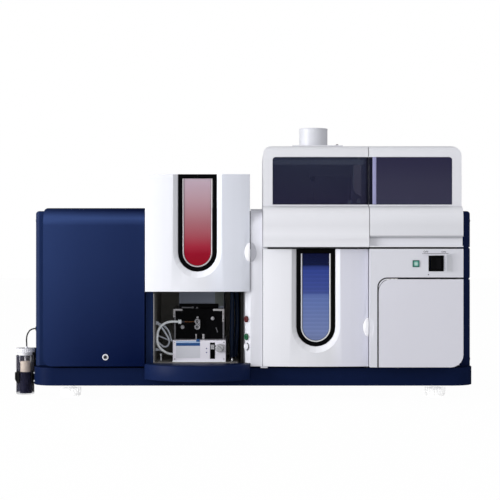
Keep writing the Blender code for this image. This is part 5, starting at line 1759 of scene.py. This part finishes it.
    def add_labels(self) -> None:
        """The control box's blank label fields, tab, indicator dots, lip and screws."""
        box = Box("burner_box")
        low, high, front = box.low, box.high, box.low.y
        for name, finish, foot, head in (("box_label", LABEL, 0.101, 0.1314),
                                         ("box_label_band", LABEL_BLUE, 0.1318, 0.1394),
                                         ("box_label_head", LABEL_PALE, 0.1398, 0.144)):
            outline = rounded_box((-0.1672, foot), (-0.1064, head), 0.0008)
            placed(name, prism(outline, Axis.Y, front - 0.0004, front - 0.00005), finish)
        tab = slab((-0.116, front - 0.0012, 0.142), (-0.107, front + 0.004, 0.1486), 0.0006)
        placed("box_tab", tab, LABEL_BLUE)
        dots = [turned([(0.0017, 0), (0.0014, 0.0008), (0.0004, 0.0011)], (-0.09, front, z), FRONT, 20)
                for z in (0.1251, 0.115)]
        placed("box_dots", together(dots), DOT_BLUE)
        lip = slab((low.x - 0.0008, front - 0.003, low.z), (high.x, front + 0.0005, low.z + 0.0022), 0.0004)
        placed("box_lip", lip, TUBE)
        screws("box_screws", Screw.FINE, FRONT,
               product((low.x + 0.005, high.x - 0.005), (front,), (0.0985, 0.141)))

    def add_lever(self) -> None:
        """A thin black liner on the slot's walls and back, and the ridged lever in it."""
        front = Box("burner_box").low.y
        left, right, foot, head = -0.08065, -0.06885, 0.099, 0.1398
        thin, mouth, back = 0.0004, front - 0.0003, front + 0.0199
        walls = (((left, mouth, foot), (left + thin, back, head)),
                 ((right - thin, mouth, foot), (right, back, head)),
                 ((left, mouth, foot), (right, back, foot + thin)),
                 ((left, mouth, head - thin), (right, back, head)),
                 ((left, back - 0.0003, foot), (right, back, head)))
        placed("slot_liner", together(block(*wall) for wall in walls), SLOT_BLACK)
        lever = Box("gas_lever")
        low, high, inset = lever.low, lever.high, 0.0005
        outline = [(high.y, low.z + inset), (high.y, high.z - inset), (front - 0.001, high.z - inset)]
        for ridge in range(3):
            outline += arc((low.y + 0.0019, high.z - 0.0021 - ridge * 0.004), 0.0018, 90, 270, 6)
        outline.append((front - 0.001, low.z + inset))
        placed("gas_lever_grip", prism(outline, Axis.X, low.x, high.x), PALE_METAL, "lever_body", "gas_lever")

    def add_knob(self) -> None:
        """The knurled knob with a raised grip bar."""
        knob = Box("gas_knob")
        back, radius = knob.high.y, (knob.high.x - knob.low.x) / 2
        knurl = loft([[(a, back - along, b) for a, b in toothed((knob.x, knob.z), radius * reach, 0.0006, 30)]
                      for along, reach in ((0.0, 0.94), (0.001, 1.0), (0.01, 1.0), (0.0108, 0.96))])
        cap = [(radius * 0.88, 0.01), (radius * 0.88, 0.0118), (radius * 0.8, 0.0124), (radius * 0.3, 0.012)]
        bar = slab((-radius * 0.8, -0.0158, -0.0018), (radius * 0.8, -0.01, 0.0018), 0.0006)
        bar.transform(Matrix.Translation((knob.x, back, knob.z)) @ Matrix.Rotation(math.radians(38), 4, "Y"))
        shapes = [knurl, turned(cap, (knob.x, back, knob.z), FRONT), bar]
        placed("gas_knob_knurled", together(shapes), PALE_METAL, "knob_body", "gas_knob")

    def add_fittings(self) -> None:
        """Wall fittings of the inner tubes, hose clamps, small parts on the floor and the liner's edge."""
        wall, floor = -0.22095, self.floor_z
        fitting = [(0.0026, 0), (0.0042, 0), (0.0042, 0.003), (0.0034, 0.0038), (0.0034, 0.0062),
                   (0.0026, 0.0066)]
        for i, (y, z) in enumerate(((-0.148, 0.1876), (-0.148, 0.139), (-0.136, 0.185), (-0.13, 0.153),
                                    (-0.16, 0.1195))):
            placed(f"wall_fitting_{i}", hollow(fitting, (wall, y, z), RIGHT, 24), INNER_TUBE)
        valve = [turned([(0.0016, 0), (0.0016, 0.012), (0.0024, 0.013)], (-0.2083, -0.15, floor), UP, 20),
                 ellipsoid((-0.2083, -0.15, 0.1062), (0.003, 0.003, 0.0028))]
        placed("floor_valve", together(valve), TUBE)
        clamp = [(0.0062, 0), (0.0074, 0), (0.0078, 0.001), (0.0078, 0.004), (0.0074, 0.005), (0.0062, 0.005)]
        for i, (x, y) in enumerate(((-0.018, -0.092), (-0.026, -0.114))):
            placed(f"hose_clamp_{i}", hollow(clamp, (x, y, 0.092), UP, 32), STEEL)
        screws("floor_screws", Screw.DECK, UP, product((-0.212, -0.015), (-0.205, -0.175, -0.03), (floor,)))
        latch = [slab((-0.03, -0.212, 0.0912), (-0.012, -0.206, 0.0945), 0.0008),
                 turned([(0.0028, 0), (0.0028, 0.006), (0.0018, 0.0072)], (-0.024, -0.209, 0.094), UP, 16)]
        placed("floor_latch", together(latch), STEEL)
        corner = Box("bay_liner").low
        x = corner.x + 0.0002
        edge = slab((x, corner.y - 0.001, 0.0915), (x + 0.0022, corner.y + 0.004, 0.264), 0.0003)
        placed("liner_edge", edge, BRACKET)


@dataclass
class LeftFront(Group):
    """The navy cover on the left with its round socket."""

    skins: Sequence[Refined] = (
        Refined("left_front_cover", NAVY_COVER, 0.0022, 3),
        Refined("front_socket", COLUMN_WHITE, 0.0005),
    )

    def dress(self) -> None:
        """Adds the socket's contact sleeve and trim."""
        socket = Box("front_socket")
        place = (socket.x, socket.low.y, socket.z)
        sleeve = [(0.0018, 0.002), (0.003, 0.002), (0.003, 0.015), (0.0018, 0.015)]
        placed("socket_sleeve", hollow(sleeve, place, BACK, 24), DARK_STEEL)
        trim = [(0.0034, -0.0002), (0.0044, -0.0008), (0.0052, -0.0002), (0.0052, 0.0004), (0.0034, 0.0004)]
        placed("socket_trim", hollow(trim, place, BACK, 40), GREY)


def panel_scoops() -> list[Shape]:
    """The finger hollow in the right panel, beside the furnace door's grip."""
    return [ellipsoid((0.3165, -0.2725, 0.182), (0.011, 0.0024, 0.0245))]


@dataclass
class RightFront(Group):
    """The right panel with the green lamp, the power switch and the access door."""

    play: float = 0.0003

    skins: Sequence[Refined] = (
        Refined("right_front_panel", PANEL_WHITE, cuts=panel_scoops),
        Refined("access_door", DOOR_WHITE, 0.0016, 3),
        Refined("switch_bezel", BLACK),
        Refined("power_rocker", BLACK),
        Refined("power_lamp", LAMP_GREEN, 0.0006),
    )

    def grown(self, node: str, offset: float, radius: float) -> list[Flat]:
        """The upright outline of a node's box, grown by an offset, with round corners."""
        low, high = Box(node).low, Box(node).high
        return rounded_box((low.x - offset, low.z - offset), (high.x + offset, high.z + offset), radius)

    def dress(self) -> None:
        """Adds the access door's seam, the switch's surround and marks, and the lamp's bezel.

        A thin grey line above the surround is painted shadow.
        """
        face = Box("right_front_panel").low.y + 0.009
        door = Box("access_door")

        def seam(offset: float) -> list[Flat]:
            """The access door's left and upper edges.

            Args:
                offset: how far outside the edges it runs.

            Returns:
                Its points, from the foot of the left edge to the right end.
            """
            x, z, radius = door.low.x - offset, door.high.z + offset, 0.0215 + offset
            bend = arc((x + radius, z - radius), radius, 180, 90, 14)
            return [(x, door.low.z + 0.0005)] + bend + [(door.high.x, z)]

        groove = [(offset, face + y) for offset, y in ((0.0002, -0.0004), (0.0032, -0.0004), (0.0032, 0.001),
                                                       (0.0002, 0.001))]
        placed("access_seam", strip_along(seam, groove), SLOT_BLACK)
        surround = ring_plate(rounded_box((0.459, 0.319), (0.52, 0.363), 0.002),
                              self.grown("switch_bezel", self.play, 0.0008), face + 0.0001, face - 0.0008)
        placed("switch_surround", surround, WHITE)
        for name, words, x in (("switch_off", "OFF", 0.456), ("switch_on", "ON", 0.5)):
            lettered(name, words, (x, face - 0.0001, 0.3678))
        # A thin grey line above the switch's surround: painted shadow.
        shadow_line = slab((0.447, face - 0.0005, 0.3652), (0.512, face + 0.0004, 0.3662), 0.0002)
        placed("switch_shadow_line", shadow_line, GREY)
        lamp_y = Box("power_lamp").low.y
        bezel = ring_plate(self.grown("power_lamp", self.play, 0.001),
                           self.grown("power_lamp", -0.0022, 0.0008), lamp_y + 0.0008, lamp_y - 0.0008)
        placed("lamp_bezel", bezel, TEAL)
        screws("panel_screw", Screw.PRINTED, FRONT, [(0.4625, face, 0.3135)])


def side_grooves() -> list[Shape]:
    """Two level grooves along the right side, where its sheets meet."""
    x = Box("right_side_panel").high.x
    return [block((x - 0.0042, -0.17, z), (x + 0.001, 0.32, z + 0.0024)) for z in (0.2992, 0.3798)]


FEET = tuple(f"{end}_{side}" for end in ("front", "rear") for side in ("left", "right"))


@dataclass
class RearBody(Group):
    """The navy rear body: side louvres, roof rim, fan guard, rear sockets and screws."""

    skins: Sequence[Refined] = (
        Refined("base_plinth", NAVY_BASE, 0.0015),
        Refined("left_side_panel", NAVY, 0.001),
        Refined("right_side_panel", NAVY_SHADED_SIDE, 0.001, cuts=side_grooves),
        Refined("top_panel", NAVY),
        Refined("back_panel", NAVY, 0.0006),
        Refined("cooling_fan", BLACK, 0.0006),
        Refined("rear_ports", STEEL, 0.0006),
        Refined("power_supply", GREY, 0.001),
    ) + tuple(Refined(f"foot_{place}", FOOT, 0.001) for place in FEET)

    def dress(self) -> None:
        """Adds louvres, screws, guard, rim, sockets and the feet's ribs."""
        self.add_sides()
        self.add_back()
        self.add_inlet()
        self.add_ports()
        self.add_roof()
        for place in FEET:
            foot = Box(f"foot_{place}")
            crown(f"foot_ribs_{place}", (foot.x, foot.y, 0.012), 20, 0.0246, (0.002, 0.002, 0.011), FOOT)

    def add_sides(self) -> None:
        """Louvres with dark gaps and screws on both sides, and the drain tube's grommet."""
        left = Box("left_side_panel").low.x
        pitch = (0, 0, 0.012)
        for side, x, outward in (("left", left, LEFT), ("right", Box("right_side_panel").high.x, RIGHT)):
            bars(f"{side}_louvres", (x, 0.12, 0.23), pitch, 14, 0.15, 0.0036, NAVY, flatness=(0.62, 1.0, 1.0))
            bars(f"{side}_louvre_gaps", (x, 0.12, 0.2262), pitch, 14, 0.146, 0.0011, SLOT_BLACK)
            screws(f"{side}_side_screws", Screw.HOUSING, outward,
                   product((x,), (-0.14, 0.08, 0.3), (0.095, 0.45)))
        grommet = [(0.0021, 0), (0.0058, 0), (0.0062, 0.0008), (0.005, 0.0022), (0.0024, 0.0026)]
        placed("drain_grommet", hollow(grommet, (left, -0.142, 0.1725), LEFT, 32), GASKET)

    def add_back(self) -> None:
        """Screws round the back, the fan's guard and wires behind the vents."""
        panel, fan = Box("back_panel"), Box("cooling_fan")
        left, right, y = panel.low.x + 0.01, panel.high.x - 0.01, panel.high.y
        rows = [left + i * (panel.high.x - panel.low.x - 0.02) / 6 for i in range(7)]
        screws("back_screws", Screw.HOUSING, BACK,
               [*product(rows, (y,), (0.09, 0.463)), *product((left, right), (y,), (0.185, 0.275, 0.37))])
        ring_pattern(STEEL).build("fan_guard", CHASSIS, [(fan.x, y + 0.0016, fan.z)], BACK, Count=5,
                                  Spacing=0.0112, Wire=0.001)
        screws("fan_screws", Screw.HOUSING, BACK,
               product((fan.x - 0.05, fan.x + 0.05), (y,), (fan.z - 0.05, fan.z + 0.05)))
        bars("vent_wires", (-0.0945, 0.314, 0.313), (0.0085, 0, 0), 13, 0.1, 0.0008, STEEL, tilt=(0, 0, 0))

    def add_inlet(self) -> None:
        """The mains inlet with its pins."""
        y = Box("back_panel").high.y
        inlet = ring_plate(rounded_box((0.47, 0.13), (0.524, 0.162), 0.004),
                           rounded_box((0.483, 0.136), (0.511, 0.156), 0.003), y - 0.0002, y + 0.004)
        placed("mains_inlet", inlet, BLACK)
        placed("mains_inlet_floor", slab((0.4826, y - 0.0004, 0.1356), (0.5114, y + 0.0006, 0.1564), 0.0004),
               SLOT_BLACK)
        pins = [slab((x - 0.001, y, 0.143), (x + 0.001, y + 0.0034, 0.149), 0.0004)
                for x in (0.49, 0.497, 0.504)]
        placed("mains_inlet_pins", together(pins), BRASS)

    def add_ports(self) -> None:
        """Nuts on the rear gas ports, and their plate's screws."""
        plate = Box("rear_ports")
        nut = [(0.0068, 0), (0.0094, 0), (0.01, 0.0008), (0.01, 0.005), (0.0094, 0.0058), (0.0068, 0.0058)]
        for i in range(3):
            place = (plate.x + (i - 1) * 0.04, plate.low.y + 0.0041, plate.z)
            placed(f"port_nut_{i}", hollow(nut, place, BACK, 6), BRASS)
        inset = 0.006
        screws("port_screws", Screw.SMALL, BACK,
               product((plate.low.x + inset, plate.high.x - inset), (plate.low.y + 0.004,),
                       (plate.low.z + inset, plate.high.z - inset)))

    def add_roof(self) -> None:
        """A raised rim round the flame's exhaust hole, screws along the roof, and its vents."""
        roof = Box("top_panel").high.z
        x, y, half = -0.11105, -0.072, 0.065
        outer, inner = (rounded_box((x - half - grow, y - half - grow), (x + half + grow, y + half + grow),
                                    radius) for grow, radius in ((0.008, 0.01), (0.0005, 0.004)))
        placed("exhaust_rim", ring_plate(outer, inner, roof - 0.0002, roof + 0.0022, Axis.Z), GREY)
        screws("roof_screws", Screw.HOUSING, UP,
               product((-0.48, -0.3, 0.04, 0.3, 0.53), (0.15, 0.3), (roof,)))
        bars("roof_vents", (-0.44, 0.19, roof - 0.0004), (0.012, 0, 0), 12, 0.07, 0.0034, SLOT_BLACK,
             flatness=(1.0, 0.3, 1.0))


@dataclass
class Insides(Group):
    """The optics, the furnace, the sampler and the lamps, which show when covers and doors are open."""

    skins: Sequence[Refined] = (
        Refined("furnace_frame", GREY, 0.0004),
        Refined("furnace_magnet", GREY, 0.001),
        Refined("graphite_furnace", GRAPHITE, 0.0006),
        Refined("sampler_base", GREY, 0.001),
        Refined("sampler_turntable", COLUMN_WHITE, 0.0006),
        Refined("sampler_arm", COLUMN_WHITE, 0.0006),
        Refined("monochromator", GREY, 0.0015),
        Refined("grating_table", BLACK, 0.0006),
        Refined("lamp_turret", GREY, 0.0006),
    )

    def dress(self) -> None:
        """Adds vials, lamp bands, coils, screws and the needle's holder."""
        table, turret, magnet = Box("sampler_turntable"), Box("lamp_turret"), Box("furnace_magnet")
        for name, count, circle in (("outer", 26, 0.065), ("inner", 16, 0.044)):
            for part, z, stub, finish in (("vials", 0.4165, (0.0048, 0.0056, 0.03), VIAL),
                                          ("vial_caps", 0.4455, (0.006, 0.0054, 0.0036), VIAL_CAP)):
                crown(f"{name}_{part}", (table.x, table.y, z), count, circle, stub, finish, TURNTABLE)
        for i, (along, finish, height) in enumerate(((0.056, COLUMN_WHITE, 0.04), (0.0495, DARK_STEEL, 0.006),
                                                     (0.15, BLACK, 0.02))):
            crown(f"lamp_bands_{i}", (turret.low.x + along, turret.y, turret.z), 8, 0.058,
                  (0.0189, 0.0189, height), finish, "turret_body", RIGHT)
        for name, y in (("front", magnet.low.y), ("rear", magnet.high.y)):
            bars(f"furnace_coil_{name}", (magnet.x, y, 0.13), (0, 0, 0.0036), 28, 0.144, 0.0021, COIL,
                 tilt=(0, QUARTER, 0))
        screws("deck_screws", Screw.DECK, UP, product((0.062, 0.306, 0.542), (-0.15, 0.07), (0.3817,)))
        screws("housing_screws", Screw.HOUSING, UP,
               product((-0.464, -0.373, -0.283), (-0.147, 0.163), (0.3293,)))
        collar = [(0.0021, 0), (0.0062, 0), (0.007, 0.002), (0.007, 0.012), (0.005, 0.015), (0.0021, 0.015)]
        placed("needle_holder", hollow(collar, (0.18445, -0.072, 0.5686), DOWN, 28), GREY, "arm_body")


@dataclass
class DrainBottle(Group):
    """The drain bottle: milky wall, liquid, float, lid and an open spring clip."""

    skins: Sequence[Refined] = (
        Refined("bottle_lid", LID, 0.0006),
        Refined("bottle_float", BEIGE),
    )

    def dress(self) -> None:
        """Adds the wall, the smoky back and the liquid, then what stands on and round the bottle."""
        bottle = Box("drain_bottle")
        x, y, foot, head = bottle.x, bottle.y, bottle.low.z, bottle.high.z
        top = head - foot
        wall = [(0.0006, 0), (0.02, 0), (0.0226, 0.0012), (0.0238, 0.0045), (0.0238, top), (0.0228, top),
                (0.0226, 0.0052), (0.0196, 0.0026), (0.0006, 0.0026)]
        placed("bottle_wall", hollow(wall, (x, y, foot), UP, 56), MILKY, node="drain_bottle")
        section = ((0.0221, foot + 0.005), (0.0225, foot + 0.005), (0.0225, head), (0.0221, head))
        placed("bottle_back", self.bent(x, y, -8, 188, [section] * 25), SMOKY)
        liquid = [(0.001, 0), (0.015, 0), (0.0158, 0.001), (0.0158, 0.0535), (0.0148, 0.0542), (0.006, 0.054),
                  (0.0058, 0.033), (0.001, 0.0325)]
        placed("drain_liquid", turned(liquid, (x + 0.0022, y, foot + 0.0034), UP, 40), LIQUID)
        self.add_lid(x, y)
        self.add_clip(x, y)

    @staticmethod
    def bent(x: float, y: float, start_deg: float, end_deg: float,
             sections: Sequence[Sequence[Flat]]) -> Shape:
        """A band round an upright axis, through sections of (radius, height) at even angles.

        Args:
            x: the axis.
            y: the axis.
            start_deg: where the band starts.
            end_deg: where it ends.
            sections: its sections, in order.

        Returns:
            The new shape.
        """
        turns = arc((0, 0), 1, start_deg, end_deg, len(sections) - 1)
        return loft([[(x + radius * cos, y + radius * sin, z) for radius, z in section]
                     for (cos, sin), section in zip(turns, sections)])

    def add_lid(self, x: float, y: float) -> None:
        """The float's guide under the lid, the lid's grip ribs and the tube's socket.

        Args:
            x: the bottle's axis.
            y: the bottle's axis.
        """
        half = 0.0012
        hub = [(0.001, 0), (0.004, 0.0004), (0.0044, 0.003), (0.009, 0.004), (0.009, 0.006), (0.001, 0.0064)]
        guide = [turned(hub, (x, y, 0.1022), UP, 24),
                 slab((x - 0.015, y - half, 0.1044), (x + 0.015, y + half, 0.106), 0.0003)]
        for side in (x - 0.0143, x + 0.0143):
            guide.append(slab((side - 0.0007, y - half, 0.086), (side + 0.0007, y + half, 0.105), 0.0003))
        placed("float_guide", together(guide), LID)
        top = Box("bottle_lid").high.z
        crown("lid_ribs", (x, y, top - 0.01), 28, 0.0236, (0.0009, 0.0009, 0.0084), LID)
        socket = [(0.0019, 0), (0.0042, 0), (0.0042, 0.001), (0.003, 0.0016), (0.003, 0.0046),
                  (0.0019, 0.005)]
        placed("lid_socket", hollow(socket, (x + 0.003, y, top - 0.0002), UP, 24), LID)

    def add_clip(self, x: float, y: float) -> None:
        """A spring band round the bottle's back, with flared ends and a plate on the instrument's side.

        Args:
            x: the bottle's axis.
            y: the bottle's axis.
        """
        clip = Box("bottle_clip")
        low, high, steps = clip.low, clip.high, 40
        sections = []
        for step in range(steps + 1):
            flare = max(0.0, abs(step - steps / 2) / (steps / 2) - 0.72) / 0.28
            inner, outer = 0.0243, 0.0264 + 0.001 * flare
            foot, head = low.z + 0.01 * (1 - flare), high.z - 0.006 * (1 - flare)
            sections.append(((inner, foot), (outer, foot), (outer, head), (inner, head)))
        band = self.bent(x, y, -42, 242, sections)
        plate = slab((high.x - 0.0045, y - 0.015, low.z), (high.x, y + 0.015, high.z), 0.0008)
        placed("bottle_clip_band", together([band, plate]), BLACK, node="bottle_clip")
        holder = slab((-0.545, high.y - 0.0002, 0.036), (high.x, high.y + 0.002, 0.122), 0.0006)
        placed("bottle_holder", holder, SLOT_BLACK)
        screws("clip_screws", Screw.WHITE, FRONT,
               [(high.x - 0.0026, y - 0.015, z) for z in (low.z + 0.007, high.z - 0.006)])


GROUPS: tuple[type[Group], ...] = (FlameDoor, FurnaceDoor, Covers, Column, FlameBay, LeftFront, RightFront,
                                   RearBody, Insides, DrainBottle)


def level(y: float, *places: Flat) -> list[Point]:
    """A route that stays at one depth, from its places of (x, z)."""
    return [(x, y, z) for x, z in places]


def tubes() -> list[Tube]:
    """The tubes, each from its outlet to the place where it goes back into the instrument.

    Returns:
        The tubes, ready to be built.
    """
    gap = 0.0003
    lid = Box("bottle_lid")
    nebulizer, box = Box("nebulizer").low.x - gap, Box("burner_box").low.x - gap
    side, back, wall = Box("left_side_panel").low.x - gap, Box("bay_liner").high.y - 0.002 - gap, -0.22065
    sample = [(nebulizer, -0.1553, 0.1908), (-0.1745, -0.1553, 0.1912), (-0.186, -0.156, 0.1905),
              (-0.198, -0.1572, 0.1868), (-0.2078, -0.159, 0.1795), (-0.2145, -0.1612, 0.168),
              (-0.217, -0.164, 0.153), (-0.2162, -0.167, 0.1385), (-0.211, -0.1695, 0.1268),
              (-0.2015, -0.171, 0.118), (-0.191, -0.1718, 0.1118), (-0.182, -0.172, 0.1096),
              (box, -0.172, 0.1096)]
    hose = [(-0.018, -0.092, 0.0913), (-0.0165, -0.092, 0.12), (-0.013, -0.092, 0.165),
            (-0.0125, -0.0915, 0.215), (-0.015, -0.089, 0.265), (-0.019, -0.08, 0.315),
            (-0.021, -0.06, 0.357), (-0.0215, -0.025, 0.388), (-0.0215, 0.015, 0.399), (-0.0215, back, 0.401)]
    second = [(-0.026, -0.114, 0.0913), (-0.0262, -0.114, 0.12), (-0.0268, -0.114, 0.165),
              (-0.0262, -0.1135, 0.215), (-0.0255, -0.111, 0.26), (-0.029, -0.103, 0.305),
              (-0.034, -0.083, 0.342), (-0.036, -0.05, 0.368), (-0.036, 0.0, 0.378), (-0.036, back, 0.379)]
    drain = [(lid.x + 0.003, lid.y, lid.high.z + gap),
             *level(-0.142, (-0.554, 0.133), (-0.5545, 0.145), (-0.5525, 0.157), (-0.546, 0.1675),
                    (-0.537, 0.172)), (side, lid.y, 0.1725)]
    loop = level(-0.148, (wall, 0.1876), (-0.216, 0.185), (-0.2057, 0.1743), (-0.1968, 0.1614),
                 (-0.1904, 0.1499), (-0.1872, 0.1396), (-0.19, 0.13), (-0.198, 0.1257), (-0.207, 0.13),
                 (-0.215, 0.137), (wall, 0.139))
    branch = level(-0.136, (wall, 0.185), (-0.214, 0.1845), (-0.2019, 0.179), (-0.1916, 0.1691),
                   (-0.1858, 0.156), (-0.184, 0.147), (-0.1805, 0.14), (box, 0.1385))
    thin = level(-0.13, (wall, 0.153), (-0.212, 0.1515), (-0.2, 0.1465), (-0.188, 0.1415), (box, 0.14))
    low_tube = level(-0.16, (wall, 0.1195), (-0.212, 0.119), (-0.203, 0.116), (-0.192, 0.111),
                     (-0.183, 0.1092), (box, 0.109))
    return [
        Tube("sample_tube_run", "sample_tube", sample, 0.003, TUBE),
        Tube("gas_hose_run", "gas_hose", hose, 0.006, HOSE, "stiff"),
        Tube("drain_tube_run", "drain_tube", drain, 0.0018, DRAIN_HOSE, between=4),
        Tube("inner_tube_loop", None, loop, 0.0024, INNER_TUBE),
        Tube("inner_tube_branch", None, branch, 0.0023, INNER_TUBE),
        Tube("inner_tube_thin", None, thin, 0.0019, INNER_TUBE, between=4),
        Tube("inner_tube_low", None, low_tube, 0.0024, INNER_TUBE, between=4),
        Tube("second_gas_hose", None, second, 0.0056, HOSE, "stiff"),
    ]


def main() -> None:
    """Builds the studio, the tubes and every group."""
    logging.basicConfig(level=logging.INFO, format="%(message)s")
    Studio().build()
    for tube in tubes():
        tube.build()
    for group in GROUPS:
        group().build()


if __name__ == "__main__":
    main()
